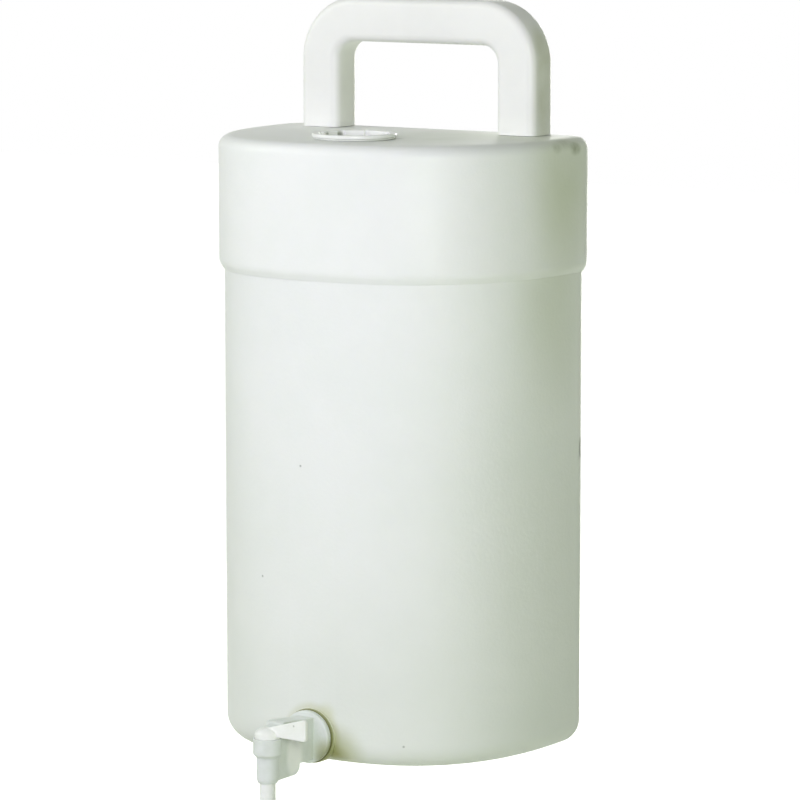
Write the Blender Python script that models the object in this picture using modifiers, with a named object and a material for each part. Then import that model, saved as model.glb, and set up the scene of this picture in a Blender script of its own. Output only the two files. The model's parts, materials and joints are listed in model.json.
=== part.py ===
"""Detergent dispenser of about ten litres, in metres, +Z up.

The origin is on the flat underside, midway between the bowed front (-Y, the tap) and the flat back (+Y).
A D-shaped tank carries a lapped cover with a loop handle and a screw plug. A lever tap with an upright
turning plug sits low on the front, and a short hose hangs from its spout.
"""

import math

import bmesh
import bpy
from mathutils import Vector

# Clearance between pieces that touch
GAP = 0.0003

# Tank and cover
BODY_WIDTH = 0.2180
BODY_DEPTH = 0.1440
BODY_HEIGHT = 0.3750
FRONT_FULLNESS = 2.6
BACK_RADIUS = 0.0145
BASE_RADIUS = 0.0150
WALL = 0.0030
COVER_WALL = 0.0029
COVER_DEPTH = 0.0820
COVER_EDGE_RADIUS = 0.0075
LIP_CHAMFER = 0.0045
LAP = 0.0300
BEAD_HEIGHT = 0.0008
BEAD_HALF_WIDTH = 0.0020
BEAD_BELOW_RIM = 0.0080
SEAL_HEIGHT = 0.0020
SEAL_MARGIN = 0.0002
LEDGE_HEIGHT = 0.0040

# Handle
HANDLE_INSET = 0.0240
HANDLE_SPAN = BODY_WIDTH - 2 * HANDLE_INSET
HANDLE_BAND = 0.0272
HANDLE_THICKNESS = 0.0250
HANDLE_EDGE_RADIUS = 0.0055
HANDLE_INNER_RADIUS = 0.0110
HANDLE_CLEAR_HEIGHT = 0.0540
HANDLE_SETBACK = 0.0170
SCREW_RADIUS = 0.0040
SCREW_CHAMFER = 0.0010
SCREW_DEPTH = 0.0280
SCREW_HEAD_RADIUS = 0.0070
SCREW_HEAD_HEIGHT = 0.0050
SCREW_SOCKET_WIDTH = 0.0060
SCREW_SOCKET_DEPTH = 0.0030
WASHER_RADIUS = 0.0115
WASHER_THICKNESS = 0.0015
HANDLE_SEAL_RADIUS = 0.0100
HANDLE_SEAL_THICKNESS = 0.0015

# Filler plug and its neck
FILLER_SETBACK = 0.0475
NECK_WALL = 0.0032
NECK_DEPTH = 0.0200
PLUG_THREAD_RADIUS = 0.0234
PLUG_FLANGE_RADIUS = 0.0256
PLUG_FLANGE_THICKNESS = 0.0020
PLUG_RIM_WIDTH = 0.0044
PLUG_RIM_ROUND = 0.0008
PLUG_RECESS_DEPTH = 0.0120
PLUG_FLOOR = 0.0025
PLUG_SKIRT_DEPTH = 0.0170
PLUG_SEAL_THICKNESS = 0.0008
PLUG_SEAL_MARGIN = 0.0008
NOTCH_COUNT = 8
NOTCH_WIDTH = 0.0045
NOTCH_DEPTH = 0.0014
NOTCH_HEIGHT = 0.0060
NOTCH_START_DEGREES = 10.4
VENT_RADIUS = 0.0012
VENT_OFFSET = 0.0120

# Tap: seat on the tank
TAP_HEIGHT = 0.0170
BOSS_RADIUS = 0.0170
BOSS_PROUD = 0.0008
BOSS_DEPTH = 0.0120
GASKET_RADIUS = 0.0166
GASKET_THICKNESS = 0.0018
FLANGE_RADIUS = 0.0161
FLANGE_THICKNESS = 0.0036
TAIL_RADIUS = 0.0070
TAIL_FREE_END = 0.0030
INNER_WASHER_RADIUS = 0.0120
INNER_WASHER_THICKNESS = 0.0015
NUT_FLATS = 0.0200
NUT_THICKNESS = 0.0070
PASSAGE_RADIUS = 0.0030

# Tap: housing, spout, turning plug and lever
TAP_REACH = 0.0469
HOUSING_THICKNESS = 0.0118
HOUSING_TOP = 0.0329
HOUSING_TOP_BACK = 0.0295
HOUSING_BOTTOM = -0.0018
HOUSING_BACK = 0.0212
HOUSING_BACK_RADIUS = 0.0060
HOUSING_TOP_RADIUS = 0.0050
HOUSING_EDGE_ROUND = 0.0014
YOKE_BEHIND = 0.0054
COLLAR_RADIUS = 0.0087
COLLAR_TOP = 0.0239
COLLAR_BOTTOM = 0.0145
SPOUT_RADIUS = 0.0066
SPOUT_TAPER_BOTTOM = 0.0124
SPOUT_BOTTOM = -0.0031
SPOUT_CHAMFER = 0.0018
SPOUT_LIP = 0.0007
SOCKET_DEPTH = 0.0110
STOP_LIP = 0.0020
VALVE_RADIUS = 0.0057
VALVE_CLEARANCE = 0.0005
VALVE_BORE = 0.0030
VALVE_CROWN = 0.0016
PORT_RADIUS = 0.0024
RING_RADIUS = 0.00045
GROOVE_DEPTH = 0.0012
GROOVE_WIDTH = 0.0016
GROOVE_TO_END = 0.0011
STEM_WIDTH = 0.0060
STEM_HEIGHT = 0.0050
HUB_RADIUS = 0.0076
HUB_SIDE = 0.0026
HUB_TOP = 0.0329
LEVER_LENGTH = 0.0284
LEVER_THICKNESS = 0.0034
LEVER_ROOT_HEIGHT = 0.0046
LEVER_TIP_HEIGHT = 0.0129
LEVER_LIFT = 0.0016
LEVER_CORNER = 0.0020
LEVER_EDGE_ROUND = 0.0008

# Hose
HOSE_RADIUS = 0.00475
HOSE_BORE = 0.0031
HOSE_DROP = 0.2420
HOSE_SPACING = 0.0119

# Places that follow from the sizes
TOP = BODY_HEIGHT
STEP = BODY_HEIGHT - COVER_DEPTH
RIM = STEP + LAP
BEAD = RIM - BEAD_BELOW_RIM
FRONT = -BODY_DEPTH / 2
BACK = BODY_DEPTH / 2
ROOF_UNDERSIDE = TOP - COVER_WALL
HANDLE_Y = BACK - HANDLE_SETBACK
LEG_X = (HANDLE_SPAN - HANDLE_BAND) / 2
FILLER_Y = FRONT + FILLER_SETBACK
SPOUT_Y = FRONT - TAP_REACH
FLANGE_BACK = BOSS_PROUD + GASKET_THICKNESS + 2 * GAP
FLANGE_FRONT = FLANGE_BACK + FLANGE_THICKNESS
WASHER_START = BOSS_DEPTH + GAP
NUT_START = WASHER_START + INNER_WASHER_THICKNESS + GAP
TAIL_END = NUT_START + NUT_THICKNESS + TAIL_FREE_END
CHAMBER_BOTTOM = SPOUT_BOTTOM + SOCKET_DEPTH + STOP_LIP
CHAMBER_RADIUS = VALVE_RADIUS + VALVE_CLEARANCE
SOCKET_RADIUS = HOSE_RADIUS + GAP
HUB_BOTTOM = COLLAR_TOP + GAP

PARTS = bpy.data.collections.new("detergent_dispenser")
CUTTERS = bpy.data.collections.new("cutters")


def start_scene():
    """Empty the scene and link the two collections."""
    for thing in list(bpy.data.objects):
        bpy.data.objects.remove(thing, do_unlink=True)
    bpy.context.scene.collection.children.link(PARTS)
    bpy.context.scene.collection.children.link(CUTTERS)


def finish(name, colour, roughness, metallic=0.0):
    """A plain Principled material."""
    made = bpy.data.materials.new(name)
    made.use_nodes = True
    shader = made.node_tree.nodes["Principled BSDF"]
    shader.inputs["Base Color"].default_value = (*colour, 1.0)
    shader.inputs["Roughness"].default_value = roughness
    shader.inputs["Metallic"].default_value = metallic
    return made


def place(name, mesh, material=None):
    """Wrap a mesh in an object among the parts."""
    mesh.shade_smooth()
    mesh.set_sharp_from_angle(angle=math.radians(32))
    made = bpy.data.objects.new(name, mesh)
    PARTS.objects.link(made)
    if material:
        mesh.materials.append(material)
    return made


def as_tool(tool):
    """Move an object among the cutters, out of the model."""
    PARTS.objects.unlink(tool)
    CUTTERS.objects.link(tool)
    tool.hide_render = True
    tool.display_type = "WIRE"


def boolean(target, tool, operation):
    """Cut a tool from a target, or join it to the target."""
    step = target.modifiers.new(tool.name, "BOOLEAN")
    step.object = tool
    step.operation = operation
    step.solver = "EXACT"
    as_tool(tool)


def cut(target, *tools):
    """Cut each tool from the target."""
    for tool in tools:
        boolean(target, tool, "DIFFERENCE")


def join(target, *tools):
    """Join each tool to the target."""
    for tool in tools:
        boolean(target, tool, "UNION")


def arc(centre, radius, start, end, steps):
    """Points of a circular arc, angles in degrees."""
    points = []
    for index in range(steps + 1):
        angle = math.radians(start + (end - start) * index / steps)
        points.append((centre[0] + radius * math.cos(angle), centre[1] + radius * math.sin(angle)))
    return points


def d_plan(offset, corner_steps=4, front_steps=40):
    """The D in plan, grown by an offset: two back corners and a full bowed front, counter-clockwise."""
    half = BODY_WIDTH / 2 + offset
    widest = BACK - BACK_RADIUS
    bow = BODY_DEPTH - BACK_RADIUS + offset
    corner_x = BODY_WIDTH / 2 - BACK_RADIUS
    points = arc((corner_x, widest), BACK_RADIUS + offset, 0, 90, corner_steps)
    points += arc((-corner_x, widest), BACK_RADIUS + offset, 90, 180, corner_steps)
    for index in range(1, front_steps):
        angle = math.pi * index / front_steps
        across, along = math.cos(angle), math.sin(angle)
        x = -half * math.copysign(abs(across) ** (2 / FRONT_FULLNESS), across)
        points.append((x, widest - bow * along ** (2 / FRONT_FULLNESS)))
    return points


def loft(name, profile, material, ring=False):
    """Carry a profile of (offset, height) round the D, closed by flat ends or, as a ring, onto itself."""
    mesh = bpy.data.meshes.new(name)
    shape = bmesh.new()
    rows = []
    for offset, height in profile:
        rows.append([shape.verts.new((x, y, height)) for x, y in d_plan(offset)])
    count = len(rows[0])
    pairs = list(zip(rows, rows[1:]))
    if ring:
        pairs.append((rows[-1], rows[0]))
    for low, high in pairs:
        for i in range(count):
            j = (i + 1) % count
            shape.faces.new((low[i], low[j], high[j], high[i]))
    if not ring:
        shape.faces.new(rows[0][::-1])
        shape.faces.new(rows[-1])
    shape.to_mesh(mesh)
    shape.free()
    return place(name, mesh, material)


def turned(name, profile, material=None, ring=False, steps=40):
    """Turn a profile of (radius, height), running down its outer side, about the local Z axis."""
    mesh = bpy.data.meshes.new(name)
    edges = [(i, i + 1) for i in range(len(profile) - 1)]
    if ring:
        edges.append((len(profile) - 1, 0))
    mesh.from_pydata([(radius, 0.0, height) for radius, height in profile], edges, [])
    made = place(name, mesh, material)
    spin = made.modifiers.new("turn", "SCREW")
    spin.axis = "Z"
    spin.steps = steps
    spin.render_steps = steps
    spin.use_merge_vertices = True
    spin.merge_threshold = 0.00001
    return made


def washer(name, inner, outer, low, high, material=None, steps=32):
    """A flat ring between two heights."""
    profile = [(outer, high), (outer, low), (inner, low), (inner, high)]
    return turned(name, profile, material, ring=True, steps=steps)


def rod(name, radius, low, high, steps=32):
    """A plain cylinder between two heights on the local Z axis."""
    return turned(name, [(0.0, high), (radius, high), (radius, low), (0.0, low)], steps=steps)


def block(name, low, high):
    """A box between two corners."""
    mesh = bpy.data.meshes.new(name)
    shape = bmesh.new()
    bmesh.ops.create_cube(shape, size=1.0)
    low, high = Vector(low), Vector(high)
    bmesh.ops.scale(shape, vec=high - low, verts=shape.verts)
    bmesh.ops.translate(shape, vec=(low + high) / 2, verts=shape.verts)
    shape.to_mesh(mesh)
    shape.free()
    return place(name, mesh)


def plate(name, outline, half_thickness, to_space, material=None):
    """Extrude a flat outline both ways; to_space maps (along, up, across) to x, y, z."""
    mesh = bpy.data.meshes.new(name)
    shape = bmesh.new()
    near = [shape.verts.new(to_space(a, b, -half_thickness)) for a, b in outline]
    face = shape.faces.new(near)
    far = bmesh.ops.extrude_face_region(shape, geom=[face])
    moved = [item for item in far["geom"] if isinstance(item, bmesh.types.BMVert)]
    shift = Vector(to_space(0, 0, half_thickness)) - Vector(to_space(0, 0, -half_thickness))
    bmesh.ops.translate(shape, vec=shift, verts=moved)
    bmesh.ops.recalc_face_normals(shape, faces=shape.faces)
    shape.to_mesh(mesh)
    shape.free()
    return place(name, mesh, material)


def soften(target, width, segments):
    """Round the sharp edges of a plate."""
    edge = target.modifiers.new("rounded_edges", "BEVEL")
    edge.width = width
    edge.segments = segments
    edge.limit_method = "ANGLE"
    edge.angle_limit = math.radians(50)


def face_front(made):
    """Turn a piece so that its local Z runs forward along the tap's axis from the tank's front."""
    made.rotation_euler = (math.pi / 2, 0.0, 0.0)
    made.location = (0.0, FRONT, TAP_HEIGHT)
    return made


def make_tank(material):
    """The tank: a D shell with a rounded base edge, a snap bead under its rim and a boss for the tap."""
    floor = (-BASE_RADIUS, BASE_RADIUS)
    profile = arc(floor, BASE_RADIUS, -90, 0, 5)
    profile += [(0, BEAD - BEAD_HALF_WIDTH), (BEAD_HEIGHT, BEAD), (0, BEAD + BEAD_HALF_WIDTH)]
    profile += [(0, RIM), (-WALL, RIM)]
    profile += arc(floor, BASE_RADIUS - WALL, 0, -90, 5)
    tank = loft("tank_body", profile, material)
    boss = face_front(rod("tap_boss", BOSS_RADIUS, -BOSS_DEPTH, BOSS_PROUD, 48))
    join(tank, boss)
    cut(tank, face_front(rod("tap_hole", TAIL_RADIUS + GAP, -2 * BOSS_DEPTH, BOSS_DEPTH)))


def make_cover(material):
    """The cover: a deep D lid that laps over the tank, with a ledge for the seal and the filler's neck."""
    outer = COVER_WALL + GAP
    seat = RIM + SEAL_HEIGHT + 2 * GAP
    inner_edge = COVER_EDGE_RADIUS - COVER_WALL
    profile = arc((GAP - inner_edge, ROOF_UNDERSIDE - inner_edge), inner_edge, 90, 0, 3)
    profile += [(GAP, seat + LEDGE_HEIGHT + WALL), (-WALL, seat + LEDGE_HEIGHT), (-WALL, seat), (GAP, seat)]
    profile += [(GAP, BEAD + BEAD_HALF_WIDTH), (GAP + BEAD_HEIGHT, BEAD), (GAP, BEAD - BEAD_HALF_WIDTH)]
    profile += [(GAP, STEP), (2 * GAP, STEP), (outer, STEP + LIP_CHAMFER)]
    profile += arc((outer - COVER_EDGE_RADIUS, TOP - COVER_EDGE_RADIUS), COVER_EDGE_RADIUS, 0, 90, 5)
    cover = loft("top_cover", profile, material)
    hole_radius = PLUG_THREAD_RADIUS + GAP
    neck = rod("neck", hole_radius + NECK_WALL, TOP - NECK_DEPTH, TOP - COVER_WALL / 2, 48)
    mouth = rod("neck_mouth", hole_radius, TOP - 2 * NECK_DEPTH, TOP + NECK_DEPTH, 48)
    for piece in (neck, mouth):
        piece.location.y = FILLER_Y
    join(cover, neck)
    cut(cover, mouth)
    for side in (-1, 1):
        hole = rod("handle_hole", SCREW_RADIUS + GAP, TOP - NECK_DEPTH, TOP + NECK_DEPTH, 24)
        hole.location = (side * LEG_X, HANDLE_Y, 0)
        cut(cover, hole)


def make_cover_seal(material):
    """The sealing ring on the tank's rim, under the cover's ledge."""
    low, high = RIM + GAP, RIM + GAP + SEAL_HEIGHT
    outer, inner = -SEAL_MARGIN, SEAL_MARGIN - WALL
    loft("cover_seal", [(outer, low), (outer, high), (inner, high), (inner, low)], material, ring=True)


def make_handle(material):
    """The loop handle: a rounded band bent into a square arch, with blind holes up its legs."""
    foot = TOP + GAP
    outer_x = HANDLE_SPAN / 2
    inner_x = outer_x - HANDLE_BAND
    grip = TOP + HANDLE_CLEAR_HEIGHT
    outer_radius = HANDLE_INNER_RADIUS + HANDLE_BAND
    below = foot - 2 * HANDLE_EDGE_RADIUS
    turn_x, turn_z = inner_x - HANDLE_INNER_RADIUS, grip - HANDLE_INNER_RADIUS
    outline = [(outer_x, below)]
    outline += arc((turn_x, turn_z), outer_radius, 0, 90, 8)
    outline += arc((-turn_x, turn_z), outer_radius, 90, 180, 8)
    outline += [(-outer_x, below), (-inner_x, below)]
    outline += arc((-turn_x, turn_z), HANDLE_INNER_RADIUS, 180, 90, 6)
    outline += arc((turn_x, turn_z), HANDLE_INNER_RADIUS, 90, 0, 6)
    outline += [(inner_x, below)]
    handle = plate(
        "carry_handle", outline, HANDLE_THICKNESS / 2, lambda a, b, c: (a, HANDLE_Y + c, b), material
    )
    soften(handle, HANDLE_EDGE_RADIUS, 3)
    cut(handle, block("foot_plane", (-HANDLE_SPAN, FRONT, below - WALL), (HANDLE_SPAN, BACK + WALL, foot)))
    for side in (-1, 1):
        hole = rod("leg_hole", SCREW_RADIUS + GAP, TOP - WALL, TOP + SCREW_DEPTH + 2 * GAP, 24)
        hole.location = (side * LEG_X, HANDLE_Y, 0)
        cut(handle, hole)


def make_handle_fixings(steel, rubber):
    """Under the roof at each leg: a rubber seal, a wide washer and a screw up into the leg."""
    hole = SCREW_RADIUS + GAP
    seal_top = ROOF_UNDERSIDE - GAP
    seal_bottom = seal_top - HANDLE_SEAL_THICKNESS
    washer_top = seal_bottom - GAP
    washer_bottom = washer_top - WASHER_THICKNESS
    head_top = washer_bottom - GAP
    head_bottom = head_top - SCREW_HEAD_HEIGHT
    tip = TOP + SCREW_DEPTH
    chamfer = SCREW_CHAMFER
    socket = SCREW_SOCKET_WIDTH / 2
    shank = [(0.0, tip), (SCREW_RADIUS - chamfer, tip), (SCREW_RADIUS, tip - chamfer)]
    head = [(SCREW_RADIUS, head_top), (SCREW_HEAD_RADIUS, head_top)]
    head += [(SCREW_HEAD_RADIUS, head_bottom + chamfer)]
    head += [(SCREW_HEAD_RADIUS - chamfer, head_bottom), (socket, head_bottom)]
    head += [(socket, head_bottom + SCREW_SOCKET_DEPTH), (0.0, head_bottom + SCREW_SOCKET_DEPTH)]
    for side, name in ((-1, "left"), (1, "right")):
        seal = washer("handle_seal_" + name, hole, HANDLE_SEAL_RADIUS, seal_bottom, seal_top, rubber, 24)
        disc = washer("handle_washer_" + name, hole, WASHER_RADIUS, washer_bottom, washer_top, steel, 24)
        screw = turned("handle_screw_" + name, shank + head, steel, steps=24)
        for piece in (seal, disc, screw):
            piece.location = (side * LEG_X, HANDLE_Y, 0.0)


def make_filler(material, soft):
    """The screw plug: a flanged cup with grip notches round its recess, and the seal below its flange."""
    seal_low = TOP + GAP
    flange_low = seal_low + PLUG_SEAL_THICKNESS + GAP
    top = flange_low + PLUG_FLANGE_THICKNESS
    recess = PLUG_FLANGE_RADIUS - PLUG_RIM_WIDTH
    floor = top - PLUG_RECESS_DEPTH
    end = TOP - PLUG_SKIRT_DEPTH
    edge = PLUG_RIM_ROUND
    profile = [(0.0, floor), (recess, floor), (recess, top - edge), (recess + edge, top)]
    profile += arc((PLUG_FLANGE_RADIUS - edge, top - edge), edge, 90, 0, 2)
    profile += [(PLUG_FLANGE_RADIUS, flange_low), (PLUG_THREAD_RADIUS, flange_low)]
    profile += [(PLUG_THREAD_RADIUS, end + edge), (PLUG_THREAD_RADIUS - edge, end), (recess, end)]
    profile += [(recess, floor - PLUG_FLOOR), (0.0, floor - PLUG_FLOOR)]
    plug = turned("filler_plug", profile, material, steps=48)
    plug.location.y = FILLER_Y
    for index in range(NOTCH_COUNT):
        low = (recess - NOTCH_WIDTH, -NOTCH_WIDTH / 2, top - NOTCH_HEIGHT)
        notch = block("notch", low, (recess + NOTCH_DEPTH, NOTCH_WIDTH / 2, top + NOTCH_HEIGHT))
        notch.location.y = FILLER_Y
        notch.rotation_euler.z = math.radians(NOTCH_START_DEGREES + 360 * index / NOTCH_COUNT)
        cut(plug, notch)
    vent = rod("vent", VENT_RADIUS, floor - 2 * PLUG_FLOOR, floor + PLUG_FLOOR, 16)
    vent.location = (0.0, FILLER_Y + VENT_OFFSET, 0.0)
    cut(plug, vent)
    inner, outer = PLUG_THREAD_RADIUS + GAP, PLUG_FLANGE_RADIUS - PLUG_SEAL_MARGIN
    seal = washer("plug_seal", inner, outer, seal_low, seal_low + PLUG_SEAL_THICKNESS, soft, 48)
    seal.location.y = FILLER_Y


def make_tap_seat(material, rubber):
    """What holds the tap in the tank's wall: gasket outside, washer and hexagon nut inside."""
    hole = TAIL_RADIUS + GAP
    low = BOSS_PROUD + GAP
    face_front(washer("tap_gasket", hole, GASKET_RADIUS, low, low + GASKET_THICKNESS, rubber))
    high = -WASHER_START
    face_front(washer("tap_washer", hole, INNER_WASHER_RADIUS, high - INNER_WASHER_THICKNESS, high, rubber))
    corner = NUT_FLATS / 2 / math.cos(math.pi / 6)
    side_profile = [(corner, -NUT_START), (corner, -NUT_START - NUT_THICKNESS)]
    nut_profile = [(0.0, -NUT_START)] + side_profile + [(0.0, -NUT_START - NUT_THICKNESS)]
    nut = face_front(turned("tap_nut", nut_profile, material, steps=6))
    cut(nut, face_front(rod("nut_hole", hole, -2 * TAIL_END, TAIL_END)))


def housing_outline():
    """Side outline of the tap's flat-sided housing, (forward from the tank, height)."""
    bottom_turn = (HOUSING_BACK + HOUSING_BACK_RADIUS, HOUSING_BOTTOM + HOUSING_BACK_RADIUS)
    nose = TAP_REACH - YOKE_BEHIND
    top_turn = (nose - HOUSING_TOP_RADIUS, HOUSING_TOP - HOUSING_TOP_RADIUS)
    inside_collar = COLLAR_TOP - 2 * STOP_LIP
    in_flange = FLANGE_FRONT - FLANGE_THICKNESS / 2
    outline = [(in_flange, HOUSING_TOP_BACK), (in_flange, bottom_turn[1])]
    outline += arc(bottom_turn, HOUSING_BACK_RADIUS, 180, 270, 6)
    outline += [(TAP_REACH, HOUSING_BOTTOM), (TAP_REACH, inside_collar), (nose, inside_collar)]
    outline += arc(top_turn, HOUSING_TOP_RADIUS, 0, 90, 5)
    return outline


def make_tap_body(material):
    """The tap's body: tail and flange on the tap's axis, flat-sided housing, upright collar and spout."""
    profile = [(0.0, FLANGE_FRONT), (FLANGE_RADIUS - SPOUT_LIP, FLANGE_FRONT)]
    profile += [(FLANGE_RADIUS, FLANGE_FRONT - SPOUT_LIP), (FLANGE_RADIUS, FLANGE_BACK)]
    profile += [(TAIL_RADIUS, FLANGE_BACK), (TAIL_RADIUS, SPOUT_LIP - TAIL_END)]
    profile += [(TAIL_RADIUS - SPOUT_LIP, -TAIL_END), (0.0, -TAIL_END)]
    body = face_front(turned("tap_body", profile, material, steps=40))
    housing = plate(
        "housing", housing_outline(), HOUSING_THICKNESS / 2, lambda a, b, c: (c, FRONT - a, b)
    )
    soften(housing, HOUSING_EDGE_ROUND, 2)
    hub_room = rod("hub_room", HUB_RADIUS + 2 * GAP, COLLAR_TOP - STOP_LIP, 2 * HUB_TOP, 44)
    column = [(0.0, COLLAR_TOP), (COLLAR_RADIUS, COLLAR_TOP), (COLLAR_RADIUS, COLLAR_BOTTOM)]
    column += [(SPOUT_RADIUS, SPOUT_TAPER_BOTTOM), (SPOUT_RADIUS, SPOUT_BOTTOM + SPOUT_CHAMFER)]
    column += [(SOCKET_RADIUS + SPOUT_LIP, SPOUT_BOTTOM), (0.0, SPOUT_BOTTOM)]
    spout = turned("spout", column)
    socket_top = SPOUT_BOTTOM + SOCKET_DEPTH
    above = COLLAR_TOP + WALL
    bores = [(0.0, above), (CHAMBER_RADIUS, above), (CHAMBER_RADIUS, CHAMBER_BOTTOM)]
    bores += [(VALVE_BORE, CHAMBER_BOTTOM), (VALVE_BORE, socket_top), (SOCKET_RADIUS, socket_top)]
    bores += [(SOCKET_RADIUS, SPOUT_BOTTOM - WALL), (0.0, SPOUT_BOTTOM - WALL)]
    upright = turned("upright_bores", bores)
    for piece in (spout, upright, hub_room):
        piece.location.y = SPOUT_Y
    cut(housing, hub_room)
    passage = face_front(rod("passage", PASSAGE_RADIUS, -2 * TAIL_END, TAP_REACH, 24))
    join(body, housing, spout)
    cut(body, upright, passage)


def make_tap_valve(material, lever_material, rubber):
    """What turns in the tap: the hollow plug with its side port, two O-rings and the domed lever."""
    low, high = CHAMBER_BOTTOM + GAP, COLLAR_TOP
    grooves = (high - GROOVE_TO_END - GROOVE_WIDTH / 2, low + GROOVE_TO_END + GROOVE_WIDTH / 2)
    groove = VALVE_RADIUS - GROOVE_DEPTH
    profile = [(0.0, high), (VALVE_RADIUS, high)]
    for middle in grooves:
        upper, lower = middle + GROOVE_WIDTH / 2, middle - GROOVE_WIDTH / 2
        profile += [(VALVE_RADIUS, upper), (groove, upper), (groove, lower), (VALVE_RADIUS, lower)]
    crown = high - VALVE_CROWN
    profile += [(VALVE_RADIUS, low), (VALVE_BORE, low), (VALVE_BORE, crown), (0.0, crown)]
    valve = turned("tap_plug", profile, material, steps=32)
    valve.location.y = SPOUT_Y
    half = STEM_WIDTH / 2
    stem = block("stem", (-half, -half, crown + VALVE_CROWN / 2), (half, half, high + STEM_HEIGHT))
    port = rod("port", PORT_RADIUS, 0.0, 2 * VALVE_RADIUS, 24)
    port.rotation_euler = (0.0, -math.pi / 2, 0.0)
    port.location = (0.0, SPOUT_Y, TAP_HEIGHT)
    stem.location.y = SPOUT_Y
    join(valve, stem)
    cut(valve, port)
    middle_radius = (groove + CHAMBER_RADIUS) / 2
    make_o_rings(grooves, middle_radius, rubber)
    make_lever(lever_material)


def make_o_rings(heights, radius, material):
    """The two O-rings of the turning plug, each a torus in its groove."""
    for name, height in zip(("upper", "lower"), heights):
        section = arc((radius, height), RING_RADIUS, 360, 0, 6)[:-1]
        turned("valve_ring_" + name, section, material, ring=True, steps=24).location.y = SPOUT_Y


def make_lever(material):
    """The lever: a dome on the plug's square stem with a wing that flares upward to its tip."""
    side_top = HUB_BOTTOM + HUB_SIDE
    dome = [(HUB_RADIUS * math.cos(t), side_top + (HUB_TOP - side_top) * math.sin(t))
            for t in (math.radians(a) for a in range(90, -1, -15))]
    dome[0] = (0.0, HUB_TOP)
    lever = turned("tap_lever", dome + [(HUB_RADIUS, HUB_BOTTOM), (0.0, HUB_BOTTOM)], material, steps=36)
    lever.location.y = SPOUT_Y
    low = HUB_BOTTOM + LEVER_LIFT
    start = STEM_WIDTH / 2 + 3 * GAP
    tip_top = low + LEVER_TIP_HEIGHT - LEVER_CORNER
    corner_x = LEVER_LENGTH - LEVER_CORNER
    outline = [(start, low), (corner_x, low - LEVER_EDGE_ROUND)]
    outline += arc((corner_x, low + LEVER_CORNER), LEVER_CORNER, -60, 0, 3)
    outline += arc((corner_x, tip_top), LEVER_CORNER, 0, 100, 4)
    outline += [(start, low + LEVER_ROOT_HEIGHT)]
    wing = plate("wing", outline, LEVER_THICKNESS / 2, lambda a, b, c: (a, SPOUT_Y + c, b))
    soften(wing, LEVER_EDGE_ROUND, 2)
    half = STEM_WIDTH / 2 + GAP
    roof = COLLAR_TOP + STEM_HEIGHT + GAP
    socket = block("stem_socket", (-half, -half, HUB_BOTTOM - WALL), (half, half, roof))
    socket.location.y = SPOUT_Y
    join(lever, wing)
    cut(lever, socket)


def smooth_route(knots, spacing, steps=40):
    """Points a set distance apart along a smooth curve through the knots."""
    ends = [knots[0] * 2 - knots[1]] + knots + [knots[-1] * 2 - knots[-2]]
    fine = []
    for a, b, c, d in zip(ends, ends[1:], ends[2:], ends[3:]):
        for step in range(steps):
            t = step / steps
            fine.append(0.5 * (2 * b + (c - a) * t + (2 * a - 5 * b + 4 * c - d) * t**2
                               + (3 * b - a - 3 * c + d) * t**3))
    fine.append(knots[-1])
    points, left = [fine[0]], spacing
    for start, end in zip(fine, fine[1:]):
        left -= (end - start).length
        if left <= 0:
            points.append(end)
            left = spacing
    points[-1] = fine[-1]
    return points


def tube(name, points, radius, material=None):
    """A round tube along points, as a closed mesh."""
    line = bpy.data.curves.new(name, "CURVE")
    line.dimensions = "3D"
    line.bevel_depth = radius
    line.bevel_resolution = 3
    line.use_fill_caps = True
    spline = line.splines.new("POLY")
    spline.points.add(len(points) - 1)
    for point, co in zip(spline.points, points):
        point.co = (*co, 1.0)
    guide = bpy.data.objects.new(name, line)
    PARTS.objects.link(guide)
    bpy.context.view_layer.update()
    mesh = bpy.data.meshes.new_from_object(guide.evaluated_get(bpy.context.evaluated_depsgraph_get()))
    bpy.data.objects.remove(guide)
    bpy.data.curves.remove(line)
    shape = bmesh.new()
    shape.from_mesh(mesh)
    bmesh.ops.remove_doubles(shape, verts=shape.verts, dist=0.00001)
    bmesh.ops.recalc_face_normals(shape, faces=shape.faces)
    shape.to_mesh(mesh)
    shape.free()
    mesh.name = name
    return place(name, mesh, material)


def make_hose(material):
    """The hose: pushed up into the spout's socket, hanging with a slight set from its roll."""
    start = SPOUT_BOTTOM + SOCKET_DEPTH - GAP
    end = SPOUT_BOTTOM - HOSE_DROP
    sway = ((0.0, 0.0), (0.0, 0.0), (0.0, 0.0), (0.0010, -0.0014), (0.0030, -0.0044), (0.0046, -0.0070))
    heights = (0.0, 0.06, 0.16, 0.42, 0.74, 1.0)
    knots = []
    for (x, y), share in zip(sway, heights):
        knots.append(Vector((x, SPOUT_Y + y, start + (end - start) * share)))
    route = smooth_route(knots, HOSE_SPACING)
    first, last = (route[0] - route[1]).normalized(), (route[-1] - route[-2]).normalized()
    hose = tube("outlet_hose", route, HOSE_RADIUS, material)
    longer = [route[0] + first * WALL] + route[1:-1] + [route[-1] + last * WALL]
    cut(hose, tube("hose_bore", longer, HOSE_BORE))


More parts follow.
